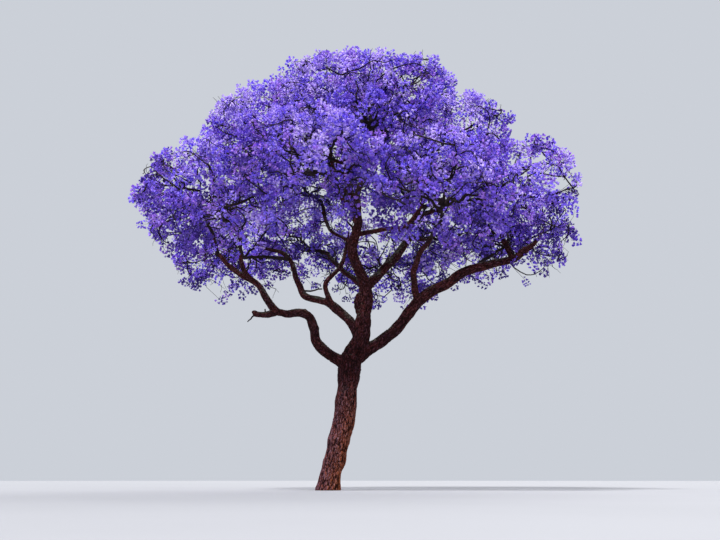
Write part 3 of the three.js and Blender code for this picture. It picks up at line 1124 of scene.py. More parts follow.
@dataclass
class MassDresser:
    """The foliage of one mass: stem, twigs, bare twigs, and panicles dealt out by shade.

    A span is a least value and what chance may add to it. The other lengths are in metres or shares.
    """

    crown: Crown
    growth: MassGrowth
    stem_stray: float = 0.02
    stem_sink: float = 0.05
    branchlet_share: float = 0.86
    first_bearer: int = 2
    bearer_shades: float = 0.6
    bare: int = 12
    lowest_bare: float = -0.95
    bare_reach: Pair = (0.7, 0.25)
    bare_forks: tuple[int, ...] = (3, 5)
    bare_fork_length: float = 0.32
    running: int = 18
    lowest_run: float = -0.6
    run_stray: float = 0.1
    run_sweep: float = 0.8
    run_start: float = 0.3
    run_reach: Pair = (0.79, 0.13)
    run_wave: float = 2.6
    run_crook: float = 0.05
    run_foot: int = 2
    run_rise: float = 0.28
    run_rise_power: float = 0.8
    run_kept_clear: int = 3
    run_forks: tuple[int, ...] = (4, 6, 8)
    run_fork_length: float = 0.36
    slack: float = 0.06
    slack_cost: float = 3.0
    spray_shares: tuple[float, ...] = (0.52, 0.76, 1.0)
    spray_share_stray: float = 0.05
    spray_side: float = 0.09
    spray_tip_side: float = 0.2
    shell: int = 340
    lowest_shell: float = -0.92
    shell_stray: float = 0.07
    shell_depth: float = 0.2
    shell_depth_power: float = 1.5
    middle: tuple[float, float, float] = (0.7, 0.15, 7.4)
    half: tuple[float, float, float] = (6.1, 6.0, 4.4)
    core: Pair = (0.5, 0.3)
    core_share: float = 0.1
    underside: float = -0.25
    underside_share: float = 0.4
    clump: float = 1.25
    thinnest: float = -0.14
    apart: float = 0.12
    limb_gap: float = 0.12
    sizes: Pair = (0.78, 0.4)
    along_twig: float = 0.6
    outwards: float = 0.4
    upwards: float = 0.35
    aim_stray: float = 0.22
    panicle_share: float = 0.95
    stalk_share: float = 0.92
    light_stray: float = 0.5
    odd_lighter: float = 0.6
    odd_lights: Pair = (0.9, -0.8)
    crest_light: float = 0.7
    height_light: float = 0.1
    middling_height: float = 8.5
    all_light: float = 0.3
    light_patches: float = 0.55
    stem: TwigMake = TwigMake(9, 8, 0.054, 0.036)
    twig: TwigMake = TwigMake(8, 6, 0.038, 0.024, 0.04, 0.05)
    branchlet: TwigMake = TwigMake(8, 4, 0.024, 0.008, 0.05, 0.05)
    bare_twig: TwigMake = TwigMake(8, 3, 0.015, 0.005, 0.08, 0.04)
    running_twig: TwigMake = TwigMake(12, 3, 0.024, 0.007)
    running_fork: TwigMake = TwigMake(5, 3, 0.012, 0.004, 0.1)
    bearer_twig: TwigMake = TwigMake(3, 3, 0.009, 0.0045, 0.07, 0.03)
    stalk: TwigMake = TwigMake(2, 3, 0.0045, 0.0015)

    def __post_init__(self) -> None:
        """Starts the mass's own random numbers."""
        self.mass = self.growth.mass
        self.rng = np.random.default_rng(self.mass.seed)

    def build(self) -> None:
        """Adds the twigs and panicles of the mass."""
        stem = self.growth.stem + self.rng.normal(size=self.growth.stem.shape) * self.stem_stray
        stem[0] = self.growth.stem[0] - self.mass.direction * self.stem_sink
        self.crown.sticks.add(stem[None], self.stem)
        starts, ends = (np.array(points) for points in zip(*self.growth.twigs))
        self.grow(starts, ends, self.twig)
        self.branchlets()
        self.bare_twigs()
        ways = self.running_twigs()
        self.spray_panicles()
        self.shell_panicles(ways)

    def grow(self, starts: Array, ends: Array, make: TwigMake) -> Array:
        """Adds crooked twigs between points and returns their ways."""
        return self.crown.sticks.grow(starts, ends, make, self.rng)

    def branchlets(self) -> None:
        """Runs a crooked branchlet through each spray, and notes where finer twigs may leave it."""
        roots = np.array([spray.root for spray in self.growth.sprays])
        tips = np.array([spray.tip for spray in self.growth.sprays])
        outer = self.grow(roots, roots + (tips - roots) * self.branchlet_share, self.branchlet)
        outer = outer[:, self.first_bearer:]
        self.bearers = outer.reshape(-1, 3)
        self.outness = self.mass.outness(self.bearers)
        self.shades = np.repeat(self.rng.normal(size=len(outer)) * self.bearer_shades, outer.shape[1])

    def nearest(self, points: Array) -> Array:
        """Finds the bearer that suits each point, none that lies further out than the point itself.

        Args:
            points: where the new twigs end.

        Returns:
            The bearers' numbers.
        """
        numbers = []
        for point in points:
            gaps = np.linalg.norm(self.bearers - point, axis=1)
            beyond = np.maximum(0, self.outness - self.mass.outness(point) + self.slack)
            numbers.append(int(np.argmin(gaps + beyond * self.slack_cost)))
        return np.array(numbers)

    def bare_twigs(self) -> None:
        """Adds crooked twigs without blossom, most of them low, each with two forks."""
        turn = self.rng.random() * RULE.turn_most
        reaches = even_directions(self.bare * 2, self.lowest_bare, turn)[self.bare:] * self.mass.half
        share = self.growth.room(reaches) * drawn(self.bare_reach, self.rng.random(self.bare))
        ends = self.crown.within(self.mass.centre + reaches * share[:, None])
        paths = self.grow(self.bearers[self.nearest(ends)], ends, self.bare_twig)
        for feet in (paths[:, place] for place in self.bare_forks):
            away = unit(self.rng.normal(size=feet.shape)) * self.bare_fork_length
            self.grow(feet, self.crown.within(feet + away), BARE_FORK)

    def running_twigs(self) -> Array:
        """Adds dark zigzag twigs that come out between the panicles and run on over the mass's outside.

        Returns:
            The points along their outer stretches, which panicles keep away from.
        """
        rng, steps, count = self.rng, self.running_twig.steps, self.running
        aims = even_directions(count, self.lowest_run, rng.random() * RULE.turn_most)
        aims = strayed(aims, self.run_stray, rng)
        side = side_at(aims, rng.random(count) * WHOLE_TURN)
        share = np.linspace(0, 1, steps)[None, :, None]
        ways = unit(aims[:, None] + side[:, None] * (share - self.run_start) * self.run_sweep)
        ways = ways * self.mass.half
        rooms = self.growth.room(ways.reshape(-1, 3)).reshape(count, steps, 1)
        outer = self.mass.centre + ways * rooms * drawn(self.run_reach, np.sin(share * self.run_wave))
        outer = self.crown.within(outer + rng.normal(size=outer.shape) * self.run_crook)
        feet = self.bearers[self.nearest(outer[:, self.run_foot])]
        rise = np.clip(share / self.run_rise, 0, 1) ** self.run_rise_power
        paths = feet[:, None] * (1 - rise) + outer * rise
        paths[:, 1:-1] = (paths[:, :-2] + paths[:, 1:-1] + paths[:, 2:]) / 3
        self.crown.sticks.add(paths, self.running_twig)
        for place in self.run_forks:
            onward = strayed(paths[:, place + 1] - paths[:, place], self.run_stray, rng)
            tips = self.crown.within(paths[:, place] + onward * self.run_fork_length)
            self.grow(paths[:, place], tips, self.running_fork)
        return paths[:, self.run_kept_clear:].reshape(-1, 3)

    def spray_panicles(self) -> None:
        """Sets panicles along every spray's own branchlet."""
        count = len(self.spray_shares)
        for spray in self.growth.sprays:
            along, wide, thin, length = spray.axes()
            share = np.array(self.spray_shares) + self.rng.normal(size=count) * self.spray_share_stray
            side = self.rng.normal(size=(count, 2)) * self.spray_side * length
            side[-1] *= self.spray_tip_side
            tips = spray.root + along * (np.minimum(share, 1) * length)[:, None]
            tips = tips + wide * side[:, :1] + thin * side[:, 1:]
            self.add_panicles(tips, np.repeat(along[None], count, axis=0))

    def shell_panicles(self, ways: Array) -> None:
        """Sets panicles in clumps over the mass's outside, thinly where it faces down or into the crown.

        Args:
            ways: points that they keep away from.
        """
        rng = self.rng
        aims = even_directions(self.shell, self.lowest_shell, rng.random() * RULE.turn_most)
        aims = strayed(aims, self.shell_stray, rng)
        reaches = aims * self.mass.half
        depth = 1 - self.shell_depth * rng.random(self.shell) ** self.shell_depth_power
        tips = self.mass.centre + reaches * (self.growth.room(reaches) * depth)[:, None]
        out = np.linalg.norm((tips - np.array(self.middle)) / np.array(self.half), axis=1)
        wanted = np.clip((out - self.core[0]) / self.core[1], self.core_share, 1)
        wanted *= np.where(aims[:, 2] > self.underside, 1, self.underside_share)
        gaps = np.min(np.linalg.norm(tips[:, None] - ways[None], axis=2), axis=1)
        keep = (rng.random(self.shell) < wanted) & (gaps > self.apart)
        keep &= noise_at(tips, self.clump) > self.thinnest
        keep &= self.crown.skeleton.free(tips, self.limb_gap)
        self.add_panicles(tips[keep], aims[keep])

    def add_panicles(self, tips: Array, outward: Array) -> None:
        """Adds panicles with the twigs that bear them.

        Args:
            tips: where their tips come.
            outward: the ways that face out of the crown there.
        """
        count, rng = len(tips), self.rng
        if not count:
            return
        tips = self.crown.within(tips)
        numbers = self.nearest(tips)
        feet = self.bearers[numbers]
        sizes = drawn(self.sizes, rng.random(count))
        lengths = (sizes * PanicleForm.length)[:, None]
        aims = unit(tips - feet) * self.along_twig + outward * self.outwards + UP * self.upwards
        aims = strayed(aims, self.aim_stray, rng)
        bases = tips - aims * lengths * self.panicle_share
        self.grow(feet, bases, self.bearer_twig)
        stalks = np.stack([bases, bases + aims * lengths * self.stalk_share], axis=1)
        self.crown.stalks.add(stalks, self.stalk)
        # Painted light and shade: each panicle's tint follows the light that reaches it, with random spread.
        light = self.lightness(tips) + self.shades[numbers] + rng.normal(size=count) * self.light_stray
        odd = light + np.where(rng.random(count) < self.odd_lighter, *self.odd_lights)
        makes, spins = rng.integers(self.crown.makes, size=count), rng.random(count) * WHOLE_TURN
        for k in range(count):
            panicle = Panicle(int(makes[k]), bases[k], aims[k], float(sizes[k]), float(spins[k]))
            for part, amount in enumerate((light[k], odd[k])):
                self.crown.dealt[Tint.pick(amount)].append((panicle, part))

    def lightness(self, points: Array) -> Array:
        """Tells how much light reaches panicles, to be painted into their tints: more at the crest of the
        mass and of the crown.

        Args:
            points: the panicles' tips.

        Returns:
            The amounts of light, around 0.
        """
        # Painted light and shade: the top of each mass and the higher crown get lighter tints, lower parts
        # darker ones, with patches of noise.
        crest = (points[:, 2] - self.mass.centre[2]) / self.mass.half[2]
        height = (points[:, 2] - self.middling_height) * self.height_light
        return self.crest_light * crest + height + self.all_light + noise_at(points, self.light_patches)


BARE_FORK = TwigMake(5, 3, 0.008, 0.003, 0.08)


@dataclass
class Crown:
    """All foliage: what the masses carry, and the short twigs and shoots on the limbs.

    The box is that of the solids, which nothing may leave by more than the panicles' own girth.
    """

    skeleton: Skeleton
    box: tuple[Array, Array]
    makes: int = 8
    soft_edge: float = 0.4
    edge_waves: float = 0.9
    edge_depth: float = 0.9
    edge_reach: float = 0.25
    spur_seed: int = 5
    shoot_seed: int = 6
    shoots: int = 5
    lowest_shoot: float = 5.2
    shoot_shares: Pair = (0.35, 0.6)
    shoot_rise: Pair = (25, 50)
    shoot_length: Pair = (0.4, 0.5)
    shoot: TwigMake = TwigMake(7, 4, 0.017, 0.005, 0.06, 0.04)
    fork_place: int = 3
    fork_stray: float = 0.6
    fork_length: float = 0.3

    def __post_init__(self) -> None:
        """Grows every mass by the solids' rule."""
        self.growths = [MassGrowth(mass, self.skeleton) for mass in self.skeleton.masses]
        self.sticks = Sticks()
        self.stalks = Sticks()
        self.dealt: dict[Tint, list[tuple[Panicle, int]]] = {tint: [] for tint in Tint}

    def build(self) -> None:
        """Grows the twigs and deals out the panicles of every mass."""
        self.spurs()
        self.bough_shoots()
        for growth in self.growths:
            MassDresser(self, growth).build()

    def within(self, points: Array) -> Array:
        """Draws points in, smoothly and unevenly, where they near or pass the faces of the solids' box.

        Args:
            points: the points.

        Returns:
            The points, in the same shape.
        """
        waves = noise_at(points.reshape(-1, 3), self.edge_waves)
        inset = self.edge_depth * np.maximum(0, waves + self.edge_reach).reshape(*points.shape[:-1], 1)
        for sign, face in ((1, self.box[0]), (-1, self.box[1])):
            edge = face + sign * inset
            room = (points - edge) * sign / self.soft_edge
            points = edge + sign * self.soft_edge * np.where(room < 1, np.exp(np.minimum(room, 1) - 1), room)
        return points

    def spurs(self) -> None:
        """Adds the short twigs that stand on the bare limbs."""
        rng = np.random.default_rng(self.spur_seed)
        for spur in SPURS:
            limb = self.skeleton.limbs[spur.on]
            start = limb.curve.at(spur.at)
            end = start + heading(spur.azimuth, spur.rise) * (spur.length + limb.radius(spur.at))
            self.sticks.grow(start[None], end[None], TwigMake(6, 6, spur.foot, spur.tip, spur.crook), rng)

    def bough_shoots(self) -> None:
        """Adds thin crooked shoots on the boughs, each with a fork."""
        rng = np.random.default_rng(self.shoot_seed)
        for limb in list(self.skeleton.limbs.values())[2:]:
            starts = limb.curve.run(drawn(self.shoot_shares, rng.random(self.shoots)))
            starts = starts[starts[:, 2] > self.lowest_shoot]
            count = len(starts)
            if not count:
                continue
            azimuths, rises = rng.random(count) * 360, drawn(self.shoot_rise, rng.random(count))
            aims = np.array([heading(a, r) for a, r in zip(azimuths, rises)])
            ends = starts + aims * drawn(self.shoot_length, rng.random(count))[:, None]
            feet = self.sticks.grow(starts, ends, self.shoot, rng)[:, self.fork_place]
            away = strayed(aims, self.fork_stray, rng) * self.fork_length
            self.sticks.grow(feet, feet + away, BARE_FORK, rng)

    def blossom(self, tint: Tint) -> Mesh:
        """Joins the flowers of one shade.

        Args:
            tint: the shade.

        Returns:
            Their points and triangles.
        """
        parts = []
        for make in range(self.makes):
            for number, form in enumerate(PanicleForm().arrays(make)):
                dealt = [p for p, part in self.dealt[tint] if p.make == make and part == number]
                if dealt:
                    turns = turned(np.array([p.aim for p in dealt]), np.array([p.spin for p in dealt]))
                    sizes = np.array([p.size for p in dealt])
                    parts.append(placed(form, np.array([p.base for p in dealt]), turns, sizes))
        return joined(parts)


# Bark


@dataclass
class BarkField:
    """Tells, for any point on the skin, where it lies along and round its nearest limb."""

    limbs: list[Limb]
    pitch: float = 0.03
    apart: float = 7.3
    batch: int = 8000

    def __post_init__(self) -> None:
        """Samples every limb's line with a frame that doesn't twist."""
        rows = []
        for k, limb in enumerate(self.limbs):
            shares = limb.shares(self.pitch)
            along = shares * limb.curve.length + self.apart * k
            rows.append((*limb.frames(shares), along, limb.radius(shares), np.full(len(shares), k)))
        columns = [np.concatenate(column) for column in zip(*rows)]
        self.points, self.sides, self.overs, self.along, self.radii, self.index = columns

    def locate(self, vertices: Array) -> tuple[Array, Array, Array]:
        """Finds grain coordinates.

        Args:
            vertices: points on the skin.

        Returns:
            The grain coordinates (two across the limb, one along it), the limb's radius and its number.
        """
        nearest = np.empty(len(vertices), int)
        square = np.sum(self.points**2, axis=1)
        for start in range(0, len(vertices), self.batch):
            block = vertices[start:start + self.batch]
            gap = np.sum(block**2, axis=1)[:, None] + square - 2 * block @ self.points.T
            gap = np.sqrt(np.maximum(gap, 0))
            nearest[start:start + self.batch] = np.argmin(gap - self.radii, axis=1)
        out = vertices - self.points[nearest]
        u = np.sum(out * self.sides[nearest], axis=1)
        v = np.sum(out * self.overs[nearest], axis=1)
        tangent = np.cross(self.sides[nearest], self.overs[nearest])
        s = self.along[nearest] + np.sum(out * tangent, axis=1)
        return np.stack([u, v, s], axis=1), self.radii[nearest], self.index[nearest]


@dataclass(frozen=True)
class Knob:
    """A burl on a limb: where it sits, its size and how far out it stands, as shares of the limb's radius."""

    on: str
    at: float
    azimuth: float
    rise: float
    size: float
    out: float = 0.6


KNOBS = (
    Knob("trunk", 0.9, 200, 10, 0.72, 0.36),
    Knob("trunk", 0.55, 10, 0, 0.6, 0.5),
    Knob("central_stem", 0.66, 192, -10, 0.5, 0.85),
    Knob("central_stem", 0.72, 194, 0, 0.62, 1.0),
    Knob("central_stem", 0.79, 196, 0, 0.72, 1.08),
    Knob("central_stem", 0.86, 200, 10, 0.68, 1.0),
    Knob("front_bough_low", 0.97, 60, 30, 0.8),
    Knob("right_bough_high", 0.72, 250, 70, 0.66),
    Knob("right_bough_high", 0.95, 20, 70, 0.8, 0.72),
    Knob("left_bough_low", 0.62, 100, 40, 0.66),
    Knob("left_bough_high", 0.28, 180, 80, 0.7),
    Knob("left_bough_high", 0.98, 190, 80, 0.8, 0.72),
    Knob("left_bough_high", 1.0, 206, 10, 0.75, 0.72),
    Knob("mid_left_bough", 0.8, 300, 60, 0.66),
    Knob("back_bough_low", 0.6, 90, 70, 0.68),
    Knob("back_right_low", 0.5, 200, 60, 0.64),
)


@dataclass
class WoodSkin:
    """The trunk and all limbs fused into one skin, with rounded crotches and fissured bark.

    Lengths are in metres and the rest are shares of a limb's radius. A wave is a rate along the limb and how
    much it moves or swells.
    """

    skeleton: Skeleton
    voxel: float = 0.0135
    low_detail: float = 0.46
    high_detail: float = 0.31
    fewest_rings: int = 6
    ring_pitch: float = 0.05
    trunk_sides: int = 20
    limb_sides: int = 14
    line_apart: float = 0.37
    sway_rate: float = 1.9
    sway_starts: float = 0.4
    trunk_sway: float = 0.12
    sway: float = 0.38
    thin: float = 0.112
    thin_sway: float = 0.85
    swell: Pair = (1.4, 0.1)
    ripple: Pair = (4.2, 0.11)
    collar_reach: float = 3.2
    foot_flare: float = 0.11
    flare_height: float = 0.62
    root_ridges: int = 5
    ridge_depth: float = 0.045
    splinter_length: float = 0.14
    end_sides: int = 12
    end_share: float = 0.97
    end_taper: float = 1.4
    stem_share: float = 0.6
    stem_tip: float = 0.045
    free_knee: float = 3.0
    free_rise: float = 5.0
    free_tip: float = 0.3
    smoothing: int = 8
    smoothing_share: float = 0.6
    plate_size: float = 0.04
    plate_growth: float = 0.055
    plate_stretch: float = 0.25
    warp: float = 0.85
    fray: float = 0.3
    plate_edge: Pair = (0.03, 0.2)
    flake_rate: float = 2.3
    flake_edge: Pair = (0.02, 0.22)
    plate_lift: float = 0.6
    flake_lift: float = 0.22
    sunk: float = 0.8
    flute: float = 0.09
    fissure_most: float = 0.019
    fissure_share: float = 0.07
    broken: str = "left_bough_high"
    low_limbs: tuple[str, ...] = (
        "trunk", "central_stem", "right_bough_low", "left_bough_low", "mid_left_bough", "front_bough_low",
        "back_bough_low", "back_right_low", "right_bough_high",
    )

    def stray(self, limb: Limb, shares: Array) -> Array:
        """Sways a limb's line from side to side, more on a thin one.

        Args:
            limb: the limb.
            shares: where along it each ring is.

        Returns:
            How far each ring moves.
        """
        seed = self.line_apart * sum(map(ord, limb.name))
        along = shares * limb.curve.length
        moves = [noise.noise_vector(Vector((s * self.sway_rate, seed, 5.1))) for s in along]
        hold = np.minimum(1, along / self.sway_starts) * limb.radius(shares)
        share = self.trunk_sway if limb.name == "trunk" else self.sway
        share = share if limb.radii[0] > self.thin else self.thin_sway
        return np.array(moves) * hold[:, None] * share

    def swollen(self, limb: Limb, shares: Array, angle: Array) -> Array:
        """Swells a limb in waves, at its collar and at the trunk's foot.

        Args:
            limb: the limb.
            shares: where along it each ring is.
            angle: the angles of a ring's points.

        Returns:
            The radius of each ring, or of each of its points.
        """
        seed = self.line_apart * sum(map(ord, limb.name))
        along = shares * limb.curve.length
        grown = np.ones(len(along))
        for (rate, amount), row in ((self.swell, 0.3), (self.ripple, 2.9)):
            waves = np.array([noise.noise(Vector((s * rate, seed, row))) for s in along])
            grown = grown + amount * waves
        radii = limb.radius(shares) * grown
        if limb.collar:
            reach = limb.radii[0] * self.collar_reach
            radii = radii * (1 + limb.collar * np.maximum(0, 1 - along / reach) ** 2)
        radii = radii[:, None]
        if limb.name == "trunk":
            fade = np.maximum(0, 1 - np.maximum(0, along - TRUNK_START) / self.flare_height) ** 2
            ridges = self.foot_flare + self.ridge_depth * np.cos(self.root_ridges * angle)
            radii = radii * (1 + fade[:, None] * ridges[None])
        return radii

    def tube(self, limb: Limb) -> Mesh:
        """Bends a closed tube with natural swellings on to a limb.

        Args:
            limb: the limb.

        Returns:
            The points and triangles.
        """
        count = max(self.fewest_rings, math.ceil(limb.curve.length / self.ring_pitch))
        angle = angles(self.trunk_sides if limb.name == "trunk" else self.limb_sides)
        shares = np.linspace(0, 1, count + 1)
        points, u, v = limb.frames(shares)
        points = points + self.stray(limb, shares)
        radii = self.swollen(limb, shares, angle)
        vertices = points[:, None] + hoops(u, v, angle) * radii[:, :, None]
        if limb.name == self.broken:
            rim = np.stack([np.cos(angle) * 2, np.sin(angle) * 2, np.full(len(angle), 7)], axis=1)
            splinters = noise_at(rim, 1) * self.splinter_length
            vertices[-1] += limb.curve.tangent(1) * splinters[:, None]
        return vertices.reshape(-1, 3), Sticks.pattern(count + 1, len(angle))

    def ending(self, limb: Limb) -> Mesh:
        """Carries a limb's end on and tapers it, along the stem of the mass that it carries or upwards.

        Args:
            limb: the limb.

        Returns:
            The points and triangles.
        """
        tip = float(limb.radii[1])
        tangent = limb.curve.tangent(1)
        if limb.carries:
            stem = Curve(limb.carries.stem(self.skeleton.rule))
            path = stem.run(np.linspace(0, self.stem_share, 12))
            last = self.stem_tip
        else:
            start = limb.curve.at(1)
            knee = start + tangent * tip * self.free_knee
            rise = unit(tangent + UP * 0.6) * tip * self.free_rise
            path = Curve(np.array([start, knee, knee + rise])).run(np.linspace(0, 1, 8))
            last = tip * self.free_tip
        path[0] -= tangent * tip
        first = tip * self.end_share
        shares = np.linspace(0, 1, 13)
        points, u, v = Limb(limb.name + "_end", Curve(path), (first, last)).frames(shares)
        radii = last + (first - last) * (1 - shares) ** self.end_taper
        vertices = points[:, None] + hoops(u, v, angles(self.end_sides)) * radii[:, None, None]
        return vertices.reshape(-1, 3), Sticks.pattern(len(shares), self.end_sides)

    def knobs(self) -> list[Mesh]:
        """Makes a rough ball for each knob, half sunk in its limb.

        Returns:
            The balls' points and triangles.
        """
        made = []
        for knob in KNOBS:
            limb = self.skeleton.limbs[knob.on]
            radius = float(limb.radius(knob.at))
            tangent = limb.curve.tangent(knob.at)
            out = heading(knob.azimuth, knob.rise)
            out = unit(out - tangent * float(out @ tangent))
            centre = limb.curve.at(knob.at) + out * radius * knob.out
            shape = bmesh.new()
            bmesh.ops.create_icosphere(shape, subdivisions=2, radius=radius * knob.size)
            points = np.array([v.co for v in shape.verts]) + centre
            faces = np.array([[v.index for v in f.verts] for f in shape.faces])
            shape.free()
            made.append((points, faces))
        return made

    def fuse(self) -> Object:
        """Fuses the tubes and knobs by a voxel remesh.

        Returns:
            The fused object.
        """
        limbs = self.skeleton.limbs.values()
        parts = [self.tube(limb) for limb in limbs] + self.knobs()
        done = {bough.on for bough in BOUGHS if bough.at == 1} | {self.broken}
        parts += [self.ending(limb) for limb in limbs if limb.name not in done and "_limb_" not in limb.name]
        rough = mesh_object("rough_wood", *joined(parts))
        remesh = rough.modifiers.new("fuse", "REMESH")
        remesh.mode = "VOXEL"
        remesh.voxel_size = self.voxel
        return self.evaluated(rough, "wood")

    @staticmethod
    def evaluated(source: Object, name: str) -> Object:
        """Applies the modifiers of an object, and removes it.

        Args:
            source: the object.
            name: the name of the new one.

        Returns:
            A new object with the resulting mesh.
        """
        graph = bpy.context.evaluated_depsgraph_get()
        mesh = bpy.data.meshes.new_from_object(source.evaluated_get(graph))
        mesh.name = name
        bpy.data.objects.remove(source)
        return linked(name, mesh)

    def relax(self, vertices: Array, edges: Array) -> Array:
        """Smooths a mesh by moving each point towards the mean of its neighbours.

        Args:
            vertices: its points.
            edges: its edges.

        Returns:
            The moved points.
        """
        number = len(vertices)
        share = np.bincount(edges.ravel(), minlength=number)[:, None]
        for _ in range(self.smoothing):
            total = np.stack([
                np.bincount(edges[:, 0], vertices[edges[:, 1], axis], number)
                + np.bincount(edges[:, 1], vertices[edges[:, 0], axis], number)
                for axis in range(3)
            ], axis=1)
            vertices = vertices + self.smoothing_share * (total / share - vertices)
        return vertices

    def relief(self, grain: Array, radii: Array) -> tuple[Array, Array, Array]:
        """Works out the bark's plates and fissures.

        Args:
            grain: grain coordinates of the points.
            radii: the limb's radius at each.

        Returns:
            The height above the smooth skin, a mask from 0 in fissures to 1 on plates, and each plate's tone.
        """
        height, mask, tone = (np.empty(len(grain)) for _ in range(3))
        for k, ((u, v, s), radius) in enumerate(zip(grain, radii)):
            cell = self.plate_size + self.plate_growth * radius
            warp = noise.noise_vector(Vector((u * 8, v * 8, s * 2.4))) * self.warp
            fray = noise.noise_vector(Vector((u * 27, v * 27, s * 10))) * self.fray
            place = Vector((u, v, s * self.plate_stretch)) / cell + warp + fray
            gaps, centres = noise.voronoi(place)
            plate = smooth_step(gaps[1] - gaps[0], *self.plate_edge)
            flakes = noise.voronoi(place * self.flake_rate + Vector((7.0, 3.0, 5.0)))[0]
            flake = smooth_step(flakes[1] - flakes[0], *self.flake_edge)
            lift = noise.noise(centres[0] * 3.1)
            flute = noise.noise(Vector((u * 4.5, v * 4.5, s * 0.7)))
            depth = min(self.fissure_most, self.fissure_share * radius)
            top = 1 + self.plate_lift * lift + self.flake_lift * flake
            height[k] = depth * (plate * top - self.sunk) + flute * radius * self.flute
            mask[k] = plate * (0.45 + 0.55 * flake)
            tone[k] = noise.noise(centres[0] * 5.3) + 0.5
        return height, mask, tone

    def build(self) -> list[Object]:
        """Builds the skin.

        Returns:
            Its low and its high piece.
        """
        fused = self.fuse()
        mesh = fused.data
        edges = read(mesh.edges, "vertices", np.int32, 2)
        vertices = self.relax(read(mesh.vertices, "co", np.float32, 3).astype(float), edges)
        mesh.vertices.foreach_set("co", vertices.astype(np.float32).ravel())
        mesh.update()
        normals = read(mesh.vertex_normals, "vector", np.float32, 3)
        names = list(self.skeleton.limbs)
        grain, radii, index = BarkField(list(self.skeleton.limbs.values())).locate(vertices)
        height, plate, tone = self.relief(grain, radii)
        vertices = vertices + normals * height[:, None]
        mesh.vertices.foreach_set("co", vertices.astype(np.float32).ravel())
        layer = mesh.attributes.new("grain", "FLOAT_VECTOR", "POINT")
        layer.data.foreach_set("vector", grain.astype(np.float32).ravel())
        for name, values in (("plate", plate), ("tone", tone)):
            layer = mesh.attributes.new(name, "FLOAT", "POINT")
            layer.data.foreach_set("value", values.astype(np.float32))
        low = np.isin(index, [names.index(name) for name in self.low_limbs])
        high = ~low
        for _ in range(3):
            high[edges.ravel()] |= np.repeat(high[edges].any(axis=1), 2)
        pieces = [
            self.cut(fused, low, "bark_of_trunk_and_low_boughs", self.low_detail),
            self.cut(fused, high, "bark_of_high_boughs", self.high_detail),
        ]
        bpy.data.objects.remove(fused)
        return pieces

    def cut(self, fused: Object, keep: Array, name: str, detail: float) -> Object:
        """Copies a part of the skin, made lighter where it is smooth, and cut flat at ground level.

        Args:
            fused: the whole skin.
            keep: which of its points are kept.
            name: the new piece's name.
            detail: the share of the triangles that stays.

        Returns:
            The new piece.
        """
        shape = bmesh.new()
        shape.from_mesh(fused.data)
        drop = [f for f in shape.faces if not keep[f.verts[0].index]]
        bmesh.ops.delete(shape, geom=drop, context="FACES")
        whole = bpy.data.meshes.new(name + "_whole")
        shape.to_mesh(whole)
        shape.free()
        heavy = linked(name + "_whole", whole)
        lighten = heavy.modifiers.new("lighten", "DECIMATE")
        lighten.ratio = detail
        made = self.evaluated(heavy, name)
        shape = bmesh.new()
        shape.from_mesh(made.data)
        everything = shape.verts[:] + shape.edges[:] + shape.faces[:]
        cut = bmesh.ops.bisect_plane(
            shape, geom=everything, plane_co=(0, 0, 0), plane_no=(0, 0, 1), clear_inner=True)
        rim = [g for g in cut["geom_cut"] if isinstance(g, bmesh.types.BMEdge)]
        if rim:
            bmesh.ops.holes_fill(shape, edges=rim)
        shape.to_mesh(made.data)
        shape.free()
        made.data.polygons.foreach_set("use_smooth", np.full(len(made.data.polygons), True))
        return made


# Finishes


class NodeBench:
    """A node tree with short ways to add nodes and join them."""

    def __init__(self, tree: NodeTree) -> None:
        """Wraps a tree."""
        self.tree = tree

    def add(self, kind: str, inputs: dict | None = None, **settings: object) -> Node:
        """Adds a node.

        Args:
            kind: the node's type, without the word ShaderNode.
            inputs: values or sockets for its inputs, by name or number.
            settings: the node's own settings.

        Returns:
            The node.
        """
        node = self.tree.nodes.new("ShaderNode" + kind)
        for name, value in settings.items():
            setattr(node, name, value)
        return self.feed(node, inputs or {})

    def feed(self, node: Node, inputs: dict) -> Node:
        """Joins sockets or sets values on a node's inputs.

        Args:
            node: the node.
            inputs: values or sockets, by input.

        Returns:
            The node.
        """
        for key, value in inputs.items():
            if isinstance(value, Socket):
                self.tree.links.new(value, node.inputs[key])
            else:
                node.inputs[key].default_value = value
        return node

    def use(self, group: NodeTree, inputs: dict) -> Node:
        """Places a node group with its own values and returns its node."""
        return self.add("Group", inputs, node_tree=group)

    def math(self, operation: str, first: object, second: object) -> Socket:
        """Returns the result of a sum on two values or sockets."""
        return self.add("Math", {0: first, 1: second}, operation=operation).outputs[0]

    def times(self, first: object, *others: object) -> Socket:
        """Multiplies values or sockets.

        Args:
            first: the first.
            others: the rest, in order.

        Returns:
            The product.
        """
        for other in others:
            first = self.math("MULTIPLY", first, other)
        return first

    def mix(self, factor: object, first: object, second: object, blend: str = "MIX") -> Socket:
        """Returns a mix of two colours, blended in the way that is named."""
        inputs = {0: factor, 6: first, 7: second}
        return self.add("Mix", inputs, data_type="RGBA", blend_type=blend).outputs[2]

    def ramp(self, value: object, low: float, high: float) -> Socket:
        """Returns a value stretched so that low becomes 0 and high becomes 1."""
        return self.add("MapRange", {0: value, 1: low, 2: high, 3: 0.0, 4: 1.0}, clamp=True).outputs[0]

    def part(self, vector: Socket, axis: int) -> Socket:
        """Returns one part of a vector: 0 for X, 1 for Y, 2 for Z."""
        return self.add("SeparateXYZ", {0: vector}).outputs[axis]

    def place(self) -> Socket:
        """Returns the point on the object."""
        return self.add("TexCoord").outputs["Object"]


